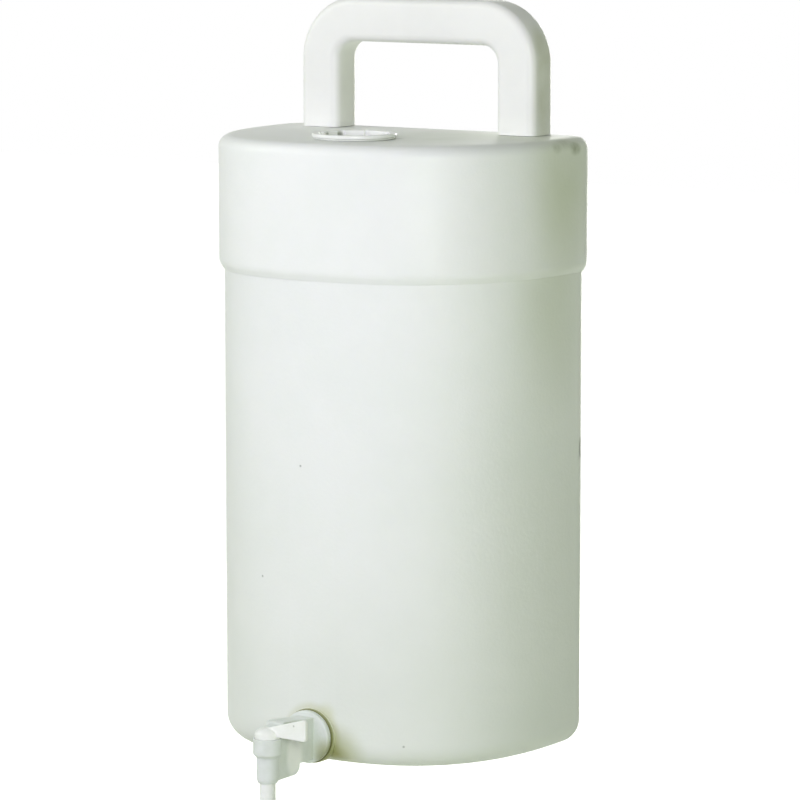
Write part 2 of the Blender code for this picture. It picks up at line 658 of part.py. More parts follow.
def main():
    """Build every piece of the dispenser."""
    start_scene()
    shell = finish("natural_polyethylene", (0.84, 0.86, 0.83), 0.45)
    make_tank(shell)
    make_cover(finish("cover_polyethylene", (0.85, 0.87, 0.84), 0.45))
    make_cover_seal(finish("cover_rubber", (0.12, 0.12, 0.12), 0.7))
    make_handle(finish("handle_polyethylene", (0.87, 0.87, 0.87), 0.4))
    steel = finish("stainless_steel", (0.62, 0.62, 0.60), 0.3, 1.0)
    rubber = finish("black_rubber", (0.06, 0.06, 0.06), 0.7)
    make_handle_fixings(steel, rubber)
    soft = finish("white_rubber", (0.82, 0.83, 0.80), 0.6)
    make_filler(finish("plug_plastic", (0.90, 0.91, 0.88), 0.35), soft)
    make_tap_seat(finish("nut_plastic", (0.80, 0.82, 0.78), 0.4), rubber)
    natural = finish("tap_plastic", (0.74, 0.77, 0.72), 0.4)
    make_tap_body(natural)
    make_tap_valve(natural, finish("lever_plastic", (0.92, 0.93, 0.90), 0.3), rubber)
    make_hose(finish("hose_pvc", (0.82, 0.84, 0.81), 0.35))


main()
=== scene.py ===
"""Looks of a detergent dispenser bottle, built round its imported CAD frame.

Lengths are metres in the frame's own axes: +Z up, the tap towards -Y, the closed lever towards +X.
"""

import json
import logging
import math
from collections.abc import Callable, Mapping, Sequence
from dataclasses import dataclass
from enum import Enum, IntEnum

import bmesh
import bpy
from mathutils import Matrix, Vector


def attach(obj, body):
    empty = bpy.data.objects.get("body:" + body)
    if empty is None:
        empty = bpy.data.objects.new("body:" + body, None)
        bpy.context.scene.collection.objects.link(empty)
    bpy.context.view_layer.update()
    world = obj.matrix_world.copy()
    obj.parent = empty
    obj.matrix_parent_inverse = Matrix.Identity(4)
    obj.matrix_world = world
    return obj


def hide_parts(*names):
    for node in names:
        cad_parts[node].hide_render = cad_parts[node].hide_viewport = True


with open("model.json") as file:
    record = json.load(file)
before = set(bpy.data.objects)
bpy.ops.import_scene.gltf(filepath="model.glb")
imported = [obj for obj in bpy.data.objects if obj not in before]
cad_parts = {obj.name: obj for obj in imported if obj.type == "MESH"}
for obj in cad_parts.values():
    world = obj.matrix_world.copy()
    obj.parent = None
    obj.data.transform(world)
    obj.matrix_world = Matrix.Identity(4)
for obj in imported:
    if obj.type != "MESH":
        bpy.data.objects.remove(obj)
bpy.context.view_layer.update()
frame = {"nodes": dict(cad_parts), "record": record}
LOG = logging.getLogger("dispenser")

Point = tuple[float, float]
Corner = tuple[float, float, float]
Place = tuple[float, float, float]
Colour = tuple[float, float, float, float]
Inputs = Mapping[str | int, object]
Solid = bpy.types.Object
Paint = bpy.types.Material
Tree = bpy.types.NodeTree
Socket = bpy.types.NodeSocket

GAP = 0.0003
WELD = 1e-6
BOTH_SIDES = (-1, 1)
WHITE: Colour = (1.0, 1.0, 1.0, 1.0)
CLOUD_EDGES = (0.36, 0.66)
CLOUD_ROUGHNESS = 0.6
HAZE_SCALE = 60.0
BREAKUP_EDGES = (0.3, 0.65)
BREAKUP_LEAST = 0.6
SCATTER_RADIUS = (1.0, 0.9, 0.7)
SCATTER_SCALE = 0.004
THREAD_RESOLUTION = 96
SMOOTHING = 0.5
EDGE_SEGMENTS = 4
EDGE_ANGLE = math.radians(50)
SHARP_ANGLE = math.radians(40)


class Sides(IntEnum):
    """How many flats stand for a round form."""

    HOLE = 32
    TUBE = 48
    BORE = 64
    TURNED = 96
    FINE = 128
    NOTCHED = 480


class Body(Enum):
    """Bodies of the frame that a piece can ride on."""

    BOTTLE = "bottle"
    TAP_KEY = "tap_key"
    FILLER_CAP = "filler_cap"


class Slot(Enum):
    """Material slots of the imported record."""

    TANK = "tank_plastic"
    COVER = "cover_plastic"
    HANDLE = "handle_plastic"
    PLUG = "plug_plastic"
    TAP = "tap_plastic"
    LEVER = "lever_plastic"
    HOSE = "hose_plastic"
    RUBBER = "black_rubber"
    SOFT = "white_rubber"
    STEEL = "stainless_steel"


class Merge(Enum):
    """Ways to combine two solids."""

    JOIN = "UNION"
    CUT = "DIFFERENCE"


def srgb(red: int, green: int, blue: int) -> Colour:
    """Turn a screen colour into Blender's linear one.

    Args:
        red: Red from 0 to 255.
        green: Green from 0 to 255.
        blue: Blue from 0 to 255.

    Returns:
        The colour as linear RGBA.
    """
    shares = (value / 255 for value in (red, green, blue))
    return (*(s / 12.92 if s <= 0.04045 else ((s + 0.055) / 1.055) ** 2.4 for s in shares), 1.0)


class Graph:
    """A node tree in the making: each call adds one node with its inputs set or linked."""

    def __init__(self, tree: Tree) -> None:
        """Work on a tree."""
        self.tree = tree

    def feed(self, node: bpy.types.Node, inputs: Inputs) -> None:
        """Set or link inputs of a node.

        Args:
            node: The node.
            inputs: Values or sockets by input name or number.
        """
        for key, value in inputs.items():
            if isinstance(value, Socket):
                self.tree.links.new(value, node.inputs[key])
            else:
                node.inputs[key].default_value = value

    def node(self, kind: str, inputs: Inputs | None = None, **settings: object) -> bpy.types.Node:
        """Add a node.

        Args:
            kind: Blender's name of the node type.
            inputs: Values or sockets by input name or number.
            settings: Properties of the node itself.

        Returns:
            The new node.
        """
        made = self.tree.nodes.new(kind)
        for name, value in settings.items():
            setattr(made, name, value)
        self.feed(made, inputs or {})
        return made

    def out(self, kind: str, inputs: Inputs | None = None, output: str | int = 0, **settings: object) -> Socket:
        """Add a node and give one of its outputs.

        Args:
            kind: Blender's name of the node type.
            inputs: Values or sockets by input name or number.
            output: Name or number of the output.
            settings: Properties of the node itself.

        Returns:
            The output socket.
        """
        return self.node(kind, inputs, **settings).outputs[output]

    def number(self, operation: str, *values: object) -> Socket:
        """Combine numbers, as an output socket."""
        return self.out("ShaderNodeMath", dict(enumerate(values)), operation=operation)

    def whole(self, operation: str, *values: object) -> Socket:
        """Combine whole numbers, as an output socket."""
        return self.out("FunctionNodeIntegerMath", dict(enumerate(values)), operation=operation)

    def vector(self, operation: str, *values: object, output: str = "Vector") -> Socket:
        """Combine vectors, as an output socket."""
        return self.out("ShaderNodeVectorMath", dict(enumerate(values)), output, operation=operation)

    def noise(self, place: Socket, scale: object, detail: float, **more: float) -> Socket:
        """Give noise at a place, as an output socket."""
        return self.out("ShaderNodeTexNoise", {"Vector": place, "Scale": scale, "Detail": detail, **more})

    def blend(self, share: object, low: object, high: object) -> Socket:
        """Mix two colours by a share, as an output socket."""
        return self.out("ShaderNodeMix", {0: share, 6: low, 7: high}, 2, data_type="RGBA")

    def between(self, value: object, low: object, high: object, to_low: float, to_high: float) -> Socket:
        """Map a value smoothly from one range to another, as an output socket."""
        ends = {"Value": value, "From Min": low, "From Max": high, "To Min": to_low, "To Max": to_high}
        return self.out("ShaderNodeMapRange", ends, interpolation_type="SMOOTHSTEP")

    def hand_out(self, name: str, geometry: Socket, material: Socket) -> Tree:
        """Realize a geometry, paint it and make it the tree's output.

        Args:
            name: Name of the output.
            geometry: The geometry.
            material: Its material.

        Returns:
            The finished tree.
        """
        real = self.out("GeometryNodeRealizeInstances", {"Geometry": geometry})
        painted = self.out("GeometryNodeSetMaterial", {"Geometry": real, "Material": material})
        self.node("NodeGroupOutput", {name: painted})
        return self.tree


def node_group(name: str, kind: str, inputs: Mapping[str, str],
               outputs: Mapping[str, str]) -> tuple[Graph, Mapping[str, Socket]]:
    """Start a node group with named sockets.

    Args:
        name: Name of the group.
        kind: Geometry or Shader.
        inputs: Short socket type by input name, such as Float or Color.
        outputs: Short socket type by output name.

    Returns:
        The graph to build in, and its inputs by name.
    """
    tree = bpy.data.node_groups.new(name, kind + "NodeTree")
    for way, kinds in (("INPUT", inputs), ("OUTPUT", outputs)):
        for socket, short in kinds.items():
            tree.interface.new_socket(socket, in_out=way, socket_type="NodeSocket" + short)
    graph = Graph(tree)
    return graph, graph.node("NodeGroupInput").outputs


def plan_loft_tree() -> Tree:
    """Write the tree that carries a profile of (offset, height) round a rail.

    The rail's points hold their way outward, so an offset moves each of them by its own amount.

    Returns:
        The geometry node tree.
    """
    graph, given = node_group("plan_loft", "Geometry", {
        "Rail": "Geometry", "Profile": "Object", "Material": "Material"}, {"Shell": "Geometry"})
    profile = graph.out("GeometryNodeObjectInfo", {"Object": given["Profile"]}, "Geometry")
    around = graph.out("GeometryNodeAttributeDomainSize", {"Geometry": given["Rail"]}, "Point Count")
    rows = graph.out("GeometryNodeAttributeDomainSize", {"Geometry": profile}, "Point Count")
    columns = graph.whole("ADD", around, 1)
    grid = graph.out("GeometryNodeMeshGrid", {"Vertices X": rows, "Vertices Y": columns}, "Mesh")
    index = graph.out("GeometryNodeInputIndex")
    row = graph.whole("DIVIDE_FLOOR", index, columns)
    column = graph.whole("MODULO", graph.whole("MODULO", index, columns), around)
    here = graph.out("GeometryNodeInputPosition")
    outward = graph.out("GeometryNodeInputNamedAttribute", {"Name": "outward"}, data_type="FLOAT_VECTOR")

    def sample(source: Socket, value: Socket, at: Socket) -> Socket:
        """Read a vector of one point of a geometry."""
        reads = {"Geometry": source, "Value": value, "Index": at}
        return graph.out("GeometryNodeSampleIndex", reads, data_type="FLOAT_VECTOR")

    step = graph.node("ShaderNodeSeparateXYZ", {0: sample(profile, here, row)}).outputs
    way = {0: sample(given["Rail"], outward, column), "Scale": step["X"]}
    spread = graph.out("ShaderNodeVectorMath", way, operation="SCALE")
    rise = graph.out("ShaderNodeCombineXYZ", {"Z": step["Z"]})
    place = graph.vector("ADD", graph.vector("ADD", sample(given["Rail"], here, column), spread), rise)
    shell = graph.out("GeometryNodeSetPosition", {"Geometry": grid, "Position": place})
    shell = graph.out("GeometryNodeMergeByDistance", {"Geometry": shell, "Distance": WELD})
    return graph.hand_out("Shell", shell, given["Material"])


def path_sweep_tree() -> Tree:
    """Write the tree that sweeps a closed section along a path of points.

    Returns:
        The geometry node tree.
    """
    graph, given = node_group("path_sweep", "Geometry", {
        "Path": "Geometry", "Section": "Object", "Material": "Material"}, {"Bar": "Geometry"})
    section = graph.out("GeometryNodeObjectInfo", {"Object": given["Section"]}, "Geometry")
    line = graph.out("GeometryNodeMeshToCurve", {0: given["Path"]})
    outline = graph.out("GeometryNodeMeshToCurve", {0: section})
    bar = graph.out("GeometryNodeCurveToMesh", {"Curve": line, "Profile Curve": outline, "Fill Caps": True})
    return graph.hand_out("Bar", bar, given["Material"])


def screw_thread_tree() -> Tree:
    """Write the tree that winds a trapezoid thread up a round skirt.

    Returns:
        The geometry node tree.
    """
    sizes = dict.fromkeys(("Radius", "Turns", "Height", "Depth", "Root", "Crest"), "Float")
    graph, given = node_group("screw_thread", "Geometry",
                              {"Geometry": "Geometry", **sizes, "Place": "Vector", "Material": "Material"},
                              {"Thread": "Geometry"})
    helix = graph.out("GeometryNodeCurveSpiral", {
        "Resolution": THREAD_RESOLUTION, "Rotations": given["Turns"], "Start Radius": given["Radius"],
        "End Radius": given["Radius"], "Height": given["Height"], "Reverse": False})
    upright = graph.out("GeometryNodeSetCurveNormal", {"Curve": helix}, mode="Z_UP")
    form = graph.out("GeometryNodeCurvePrimitiveQuadrilateral", {
        "Height": given["Depth"], "Bottom Width": given["Root"], "Top Width": given["Crest"], "Offset": 0.0},
        mode="TRAPEZOID")
    turned = graph.out("GeometryNodeTransform", {"Geometry": form, "Rotation": (0.0, 0.0, math.pi / 2)})
    ridge = graph.out("GeometryNodeCurveToMesh", {"Curve": upright, "Profile Curve": turned, "Fill Caps": True})
    ridge = graph.out("GeometryNodeTransform", {"Geometry": ridge, "Translation": given["Place"]})
    return graph.hand_out("Thread", ridge, given["Material"])


def cloudy_resin_group() -> Tree:
    """Write the shader group of a natural moulded resin: soft clouds of tone and a faint peel.

    Returns:
        The shader node group.
    """
    sizes = dict.fromkeys(("Cloud Scale", "Peel Scale", "Roughness", "Spread"), "Float")
    graph, given = node_group("cloudy_resin", "Shader", {"Base": "Color", "Cloud": "Color", **sizes},
                              {"Color": "Color", "Roughness": "Float", "Height": "Float"})
    place = graph.out("ShaderNodeTexCoord", output="Object")
    clouds = graph.noise(place, given["Cloud Scale"], 4.0, Roughness=CLOUD_ROUGHNESS)
    colour = graph.blend(graph.between(clouds, *CLOUD_EDGES, 0.0, 1.0), given["Base"], given["Cloud"])
    peel = graph.noise(place, given["Peel Scale"], 3.0)
    shift = graph.number("SUBTRACT", graph.noise(place, HAZE_SCALE, 5.0), 0.5)
    spread = graph.number("MULTIPLY_ADD", shift, given["Spread"], given["Roughness"])
    graph.node("NodeGroupOutput", {"Color": colour, "Roughness": spread, "Height": peel})
    return graph.tree


def fading_patch_group() -> Tree:
    """Write the shader group of a patch of colour that thins out with the distance from one place.

    Returns:
        The shader node group.
    """
    sizes = dict.fromkeys(("Near", "Far", "Strength", "Breakup"), "Float")
    graph, given = node_group("fading_patch", "Shader", {
        "Color": "Color", "Patch": "Color", "Centre": "Vector", "Stretch": "Vector", **sizes}, {"Color": "Color"})
    place = graph.out("ShaderNodeTexCoord", output="Object")
    offset = graph.vector("SUBTRACT", place, given["Centre"])
    away = graph.vector("LENGTH", graph.vector("MULTIPLY", offset, given["Stretch"]), output="Value")
    near = graph.between(away, given["Near"], given["Far"], 1.0, 0.0)
    broken = graph.between(graph.noise(place, given["Breakup"], 4.0), *BREAKUP_EDGES, BREAKUP_LEAST, 1.0)
    share = graph.number("MULTIPLY", graph.number("MULTIPLY", near, broken), given["Strength"])
    graph.node("NodeGroupOutput", {"Color": graph.blend(share, given["Color"], given["Patch"])})
    return graph.tree


class ShaderGroups:
    """The shader groups that the finishes share, each written once."""

    def __init__(self) -> None:
        """Write the groups."""
        self.resin = cloudy_resin_group()
        self.patch = fading_patch_group()


def new_material(name: str) -> tuple[Paint, Graph, bpy.types.Node]:
    """Start a material.

    Args:
        name: Name of the material.

    Returns:
        The material, the graph to build in and its Principled shader.
    """
    made = bpy.data.materials.new(name)
    made.use_nodes = True
    return made, Graph(made.node_tree), made.node_tree.nodes["Principled BSDF"]


@dataclass(frozen=True)
class Patch:
    """A patch of colour that fades out from one place: a mark, some dirt, painted shade or painted light.

    It is full within the near distance and gone at the far one, both measured after the stretch.
    """

    colour: Colour
    centre: Place
    near: float
    far: float
    strength: float
    breakup: float = 220.0
    stretch: Place = (1.0, 1.0, 1.0)

    def over(self, colour: Socket, graph: Graph, groups: ShaderGroups) -> Socket:
        """Lay the patch over a colour.

        Args:
            colour: The colour below it.
            graph: The material's graph.
            groups: The shared shader groups.

        Returns:
            The colour with the patch.
        """
        return graph.out("ShaderNodeGroup", {
            "Color": colour, "Patch": self.colour, "Centre": self.centre, "Near": self.near, "Far": self.far,
            "Strength": self.strength, "Breakup": self.breakup, "Stretch": self.stretch}, node_tree=groups.patch)


@dataclass(frozen=True)
class ResinFinish:
    """A moulded plastic with clouds of tone, a faint peel and any patches of colour."""

    name: str
    base: Colour
    cloud: Colour
    roughness: float
    cloud_scale: float = 14.0
    peel_scale: float = 420.0
    peel_height: float = 0.00012
    spread: float = 0.16
    depth: float = 0.0
    patches: tuple[Patch, ...] = ()

    def build(self, groups: ShaderGroups) -> Paint:
        """Write the material.

        Args:
            groups: The shared shader groups.

        Returns:
            The new material.
        """
        made, graph, shader = new_material(self.name)
        resin = graph.node("ShaderNodeGroup", {
            "Base": self.base, "Cloud": self.cloud, "Cloud Scale": self.cloud_scale, "Peel Scale": self.peel_scale,
            "Roughness": self.roughness, "Spread": self.spread}, node_tree=groups.resin).outputs
        colour = resin["Color"]
        for patch in self.patches:
            colour = patch.over(colour, graph, groups)
        relief = graph.out("ShaderNodeBump", {"Height": resin["Height"], "Distance": self.peel_height}, "Normal")
        graph.feed(shader, {
            "Base Color": colour, "Roughness": resin["Roughness"], "Normal": relief, "Subsurface Weight": self.depth,
            "Subsurface Radius": SCATTER_RADIUS, "Subsurface Scale": SCATTER_SCALE})
        return made


@dataclass(frozen=True)
class SteelFinish:
    """Plain stainless steel with a fine turned grain."""

    name: str = "turned_steel"
    base: Colour = srgb(176, 176, 172)
    dull: Colour = srgb(138, 138, 134)
    smoothest: float = 0.24
    roughest: float = 0.42
    grain_scale: float = 1400.0
    grain_edges: Point = (0.2, 0.8)

    def build(self) -> Paint:
        """Write the material.

        Returns:
            The new material.
        """
        made, graph, shader = new_material(self.name)
        grain = graph.noise(graph.out("ShaderNodeTexCoord", output="Object"), self.grain_scale, 2.0)
        rough = graph.between(grain, *self.grain_edges, self.smoothest, self.roughest)
        colour = graph.blend(grain, self.base, self.dull)
        graph.feed(shader, {"Base Color": colour, "Roughness": rough, "Metallic": 1.0})
        return made


def linked(name: str, mesh: bpy.types.Mesh) -> Solid:
    """Put a mesh in the scene.

    Args:
        name: Name of the object.
        mesh: Its mesh.

    Returns:
        The new object.
    """
    made = bpy.data.objects.new(name, mesh)
    bpy.context.scene.collection.objects.link(made)
    return made


def solid(name: str, shape: bmesh.types.BMesh) -> Solid:
    """Turn a bmesh into an object with its normals outward.

    Args:
        name: Name of the object.
        shape: The bmesh, which is freed.

    Returns:
        The new object.
    """
    bmesh.ops.recalc_face_normals(shape, faces=shape.faces)
    mesh = bpy.data.meshes.new(name)
    shape.to_mesh(mesh)
    shape.free()
    return linked(name, mesh)


def chain(name: str, points: Sequence[Sequence[float]], closed: bool = False) -> Solid:
    """Make an object of bare points joined by edges.

    Args:
        name: Name of the object.
        points: The points in order.
        closed: Whether the last point joins the first.

    Returns:
        The new object.
    """
    mesh = bpy.data.meshes.new(name)
    edges = [(i, i + 1) for i in range(len(points) - 1)]
    if closed:
        edges.append((len(points) - 1, 0))
    mesh.from_pydata([tuple(p) for p in points], edges, [])
    return linked(name, mesh)


def baked(piece: Solid) -> Solid:
    """Turn an object's modifiers into its own plain mesh.

    Args:
        piece: The object.

    Returns:
        The same object.
    """
    bpy.context.view_layer.update()
    mesh = bpy.data.meshes.new_from_object(piece.evaluated_get(bpy.context.evaluated_depsgraph_get()))
    piece.modifiers.clear()
    piece.data = mesh
    return piece


def grown(piece: Solid, tree: Tree, values: Mapping[str, object]) -> Solid:
    """Run a Geometry Nodes tree on an object and keep the result as its plain mesh.

    Args:
        piece: The object that holds the tree's geometry input.
        tree: The tree.
        values: Values of its other inputs by name.

    Returns:
        The same object.
    """
    step = piece.modifiers.new(tree.name, "NODES")
    step.node_group = tree
    for item in tree.interface.items_tree:
        if item.in_out == "INPUT" and item.name in values:
            step[item.identifier] = values[item.name]
    return baked(piece)


def retouched(piece: Solid, edit: Callable[[bmesh.types.BMesh], object]) -> Solid:
    """Edit an object's mesh in place and turn its normals outward.

    Args:
        piece: The object.
        edit: What is done to its bmesh.

    Returns:
        The same object.
    """
    shape = bmesh.new()
    shape.from_mesh(piece.data)
    edit(shape)
    bmesh.ops.recalc_face_normals(shape, faces=shape.faces)
    shape.to_mesh(piece.data)
    shape.free()
    return piece


def merged(target: Solid, tools: Sequence[Solid], way: Merge) -> Solid:
    """Join tools to a solid, or cut them from it, and remove the tools.

    Args:
        target: The solid that stays.
        tools: The solids that are joined or cut.
        way: Whether they join or cut.

    Returns:
        The target.
    """
    for tool in tools:
        step = target.modifiers.new(tool.name, "BOOLEAN")
        step.object = tool
        step.operation = way.value
        step.solver = "EXACT"
    baked(target)
    for tool in tools:
        bpy.data.objects.remove(tool)
    return target


def moulded(target: Solid, grain: float, rounds: int) -> Solid:
    """Melt the joins of a solid into soft moulded fillets.

    Args:
        target: The solid.
        grain: Size of the remesh in metres.
        rounds: How often the skin is smoothed.

    Returns:
        The same object.
    """
    remesh = target.modifiers.new("melt", "REMESH")
    remesh.mode = "VOXEL"
    remesh.voxel_size = grain
    smooth = target.modifiers.new("soften", "SMOOTH")
    smooth.factor = SMOOTHING
    smooth.iterations = rounds
    return baked(target)


def filleted(corners: Sequence[Corner], steps: int = 6) -> list[Point]:
    """Round the corners of an open chain.

    Args:
        corners: Each corner's two coordinates and its radius, 0 for a sharp one.
        steps: Segments in each rounded corner.

    Returns:
        The points of the rounded chain.
    """
    points: list[Point] = []
    for index, (across, up, radius) in enumerate(corners):
        here = Vector((across, up))
        if radius == 0 or index in (0, len(corners) - 1):
            points.append((across, up))
            continue
        back = Vector(corners[index - 1][:2]) - here
        onward = Vector(corners[index + 1][:2]) - here
        half = back.angle(onward) / 2
        centre = here + (back.normalized() + onward.normalized()).normalized() * radius / math.sin(half)
        reach = radius / math.tan(half)
        first = here + back.normalized() * reach - centre
        last = here + onward.normalized() * reach - centre
        start = math.atan2(first.y, first.x)
        sweep = (math.atan2(last.y, last.x) - start + math.pi) % (2 * math.pi) - math.pi
        for step in range(steps + 1):
            angle = start + sweep * step / steps
            points.append((centre.x + radius * math.cos(angle), centre.y + radius * math.sin(angle)))
    return points


def revolved(name: str, profile: Sequence[Point], steps: int = Sides.TURNED,
             radius_at: Callable[[float, float, float], float] | None = None) -> Solid:
    """Turn a profile about the Z axis.

    Args:
        name: Name of the object.
        profile: Points of (radius, height); its ends close on the axis.
        steps: Columns round the axis.
        radius_at: Gives the radius to use from (radius, height, angle).

    Returns:
        The new solid.
    """
    shape = bmesh.new()
    rows = []
    for radius, height in profile:
        if radius == 0:
            rows.append([shape.verts.new((0.0, 0.0, height))] * steps)
            continue
        row = []
        for step in range(steps):
            angle = 2 * math.pi * step / steps
            out = radius_at(radius, height, angle) if radius_at else radius
            row.append(shape.verts.new((out * math.cos(angle), out * math.sin(angle), height)))
        rows.append(row)
    for low, high in zip(rows, rows[1:]):
        for i in range(steps):
            j = (i + 1) % steps
            shape.faces.new(dict.fromkeys((low[i], low[j], high[j], high[i])))
    return solid(name, shape)


def plate(name: str, outline: Sequence[Point], half: float, edge: float,
          to_space: Callable[[float, float, float], Sequence[float]]) -> Solid:
    """Extrude an outline both ways and round its edges.

    Args:
        name: Name of the object.
        outline: Corners of the flat outline.
        half: Half the thickness.
        edge: Radius of the rounded edges.
        to_space: Maps (along, up, across) to a place.

    Returns:
        The new solid.
    """
    shape = bmesh.new()
    sides = [[shape.verts.new(to_space(a, b, c)) for a, b in outline] for c in (-half, half)]
    shape.faces.new(sides[0][::-1])
    shape.faces.new(sides[1])
    for i in range(len(outline)):
        j = (i + 1) % len(outline)
        shape.faces.new((sides[0][i], sides[0][j], sides[1][j], sides[1][i]))
    made = solid(name, shape)
    rounding = made.modifiers.new("round", "BEVEL")
    rounding.width = edge
    rounding.segments = EDGE_SEGMENTS
    rounding.limit_method = "ANGLE"
    rounding.angle_limit = EDGE_ANGLE
    return baked(made)


def rod(name: str, radius: float, low: float, high: float, place: Sequence[float] = (0.0, 0.0, 0.0),
        steps: int = Sides.BORE) -> Solid:
    """Make an upright cylinder, mostly as a tool for a cut.

    Args:
        name: Name of the object.
        radius: Its radius.
        low: Height of its lower end.
        high: Height of its upper end.
        place: Where its axis stands.
        steps: Sides of the cylinder.

    Returns:
        The new solid.
    """
    made = revolved(name, [(0.0, low), (radius, low), (radius, high), (0.0, high)], steps)
    made.data.transform(Matrix.Translation(place))
    return made


@dataclass(frozen=True)
class Layout:
    """Sizes and places that more than one sub-assembly is built to."""

    roof: float = 0.3750
    rim: float = 0.3230
    bead_height: float = 0.0008
    bead_half: float = 0.0020
    bead_below_rim: float = 0.0080
    tap_height: float = 0.0170
    spout_bottom: float = -0.0031
    filler_y: float = -0.0245
    leg_y: float = 0.0550
    screw_hole: float = 0.0043

    def bead(self, offset: float) -> list[Corner]:
        """Give the corners of the snap bead below the rim, from the lowest up.

        Args:
            offset: How far out from the plan its foot stands.

        Returns:
            The corners, all sharp.
        """
        middle = self.rim - self.bead_below_rim
        return [(offset, middle - self.bead_half, 0.0), (offset + self.bead_height, middle, 0.0),
                (offset, middle + self.bead_half, 0.0)]


LAYOUT = Layout()


@dataclass(frozen=True)
class Plan:
    """The D in plan that the tank and the cover share."""

    width: float = 0.2180
    depth: float = 0.1440
    fullness: float = 2.6
    back_radius: float = 0.0145
    columns: int = 288
    fineness: int = 6000

    @property
    def front(self) -> float:
        """Y of the middle of the bowed front."""
        return -self.depth / 2

    @property
    def back(self) -> float:
        """Y of the flat back."""
        return self.depth / 2

    def at(self, share: float) -> tuple[Vector, Vector]:
        """Find a point of the D.

        Args:
            share: How far round, from 0 to 1; the back half comes first.

        Returns:
            The point, and the way it moves as the D grows.
        """
        widest = self.back - self.back_radius
        corner_x = self.width / 2 - self.back_radius
        if share < 0.5:
            turn = 4 * math.pi * share
            bend = min(turn, math.pi / 2) + max(turn - 3 * math.pi / 2, 0.0)
            across = 1 - 2 * min(max((turn - math.pi / 2) / math.pi, 0.0), 1.0)
            way = Vector((math.cos(bend), math.sin(bend), 0.0))
            return Vector((across * corner_x, widest, 0.0)) + way * self.back_radius, way
        turn = 2 * math.pi * share
        power = 2 / self.fullness
        cos, sin = math.cos(turn), math.sin(turn)
        way = Vector((math.copysign(abs(cos) ** power, cos), -(abs(sin) ** power), 0.0))
        bow = self.depth - self.back_radius
        return Vector((way.x * self.width / 2, widest + way.y * bow, 0.0)), way

    def rail(self, name: str) -> Solid:
        """Make the D as a ring of evenly spaced points that hold their way outward.

        Args:
            name: Name of the object.

        Returns:
            The ring.
        """
        samples = [self.at(i / self.fineness) for i in range(self.fineness)] + [self.at(0.0)]
        run = [0.0]
        for (a, _), (b, _) in zip(samples, samples[1:]):
            run.append(run[-1] + (b - a).length)
        chosen = []
        index = 0
        for column in range(self.columns):
            while run[index + 1] <= run[-1] * column / self.columns:
                index += 1
            chosen.append(samples[index])
        ring = chain(name, [point for point, _ in chosen], closed=True)
        ways = ring.data.attributes.new("outward", "FLOAT_VECTOR", "POINT")
        for item, (_, way) in zip(ways.data, chosen):
            item.vector = way
        return ring


def forward(plan: Plan, height: float) -> Matrix:
    """Give the placement that turns local Z forward from the tank's front at a height."""
    return Matrix.Translation((0.0, plan.front, height)) @ Matrix.Rotation(math.pi / 2, 4, "X")


@dataclass
class Workshop:
    """What every sub-assembly builds with: the shared plan, the node trees and the finishes."""

    plan: Plan
    loft: Tree
    sweep: Tree
    thread: Tree
    finishes: dict[Slot, Paint]

    def lofted(self, name: str, profile: Sequence[Point], slot: Slot) -> Solid:
        """Carry a profile round the plan and close its two ends flat.

        Args:
            name: Name of the piece.
            profile: Points of (offset from the plan, height).
            slot: Whose finish it gets.

        Returns:
            The new solid.
        """
        guide = chain(name + "_profile", [(offset, 0.0, height) for offset, height in profile])
        piece = grown(self.plan.rail(name), self.loft, {"Profile": guide, "Material": self.finishes[slot]})
        bpy.data.objects.remove(guide)
        return retouched(piece, lambda shape: bmesh.ops.holes_fill(
            shape, edges=[edge for edge in shape.edges if edge.is_boundary], sides=0))

    def swept(self, name: str, path: Sequence[Vector], section: Sequence[Point], slot: Slot) -> Solid:
        """Sweep a closed section along a path.

        Args:
            name: Name of the piece.
            path: Points of the path.
            section: Points of the closed section.
            slot: Whose finish it gets.

        Returns:
            The new solid.
        """
        guide = chain(name + "_section", [(a, b, 0.0) for a, b in section], closed=True)
        values = {"Section": guide, "Material": self.finishes[slot]}
        piece = grown(chain(name, path), self.sweep, values)
        bpy.data.objects.remove(guide)
        return retouched(piece, lambda shape: bmesh.ops.remove_doubles(shape, verts=shape.verts, dist=WELD))

    def dress(self, piece: Solid, body: Body, slot: Slot, *nodes: str) -> None:
        """Shade a finished piece, let it ride on a body and let it stand for CAD nodes.

        Args:
            piece: The finished piece.
            body: The body it rides on.
            slot: The record's slot of its finish.
            nodes: CAD nodes that it stands for.
        """
        piece.data.materials.clear()
        piece.data.materials.append(self.finishes[slot])
        piece.data.shade_smooth()
        piece.data.set_sharp_from_angle(angle=SHARP_ANGLE)
        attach(piece, body.value)
        if nodes:
            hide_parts(*nodes)
        LOG.info("%s rides on %s with %d faces", piece.name, body.value, len(piece.data.polygons))


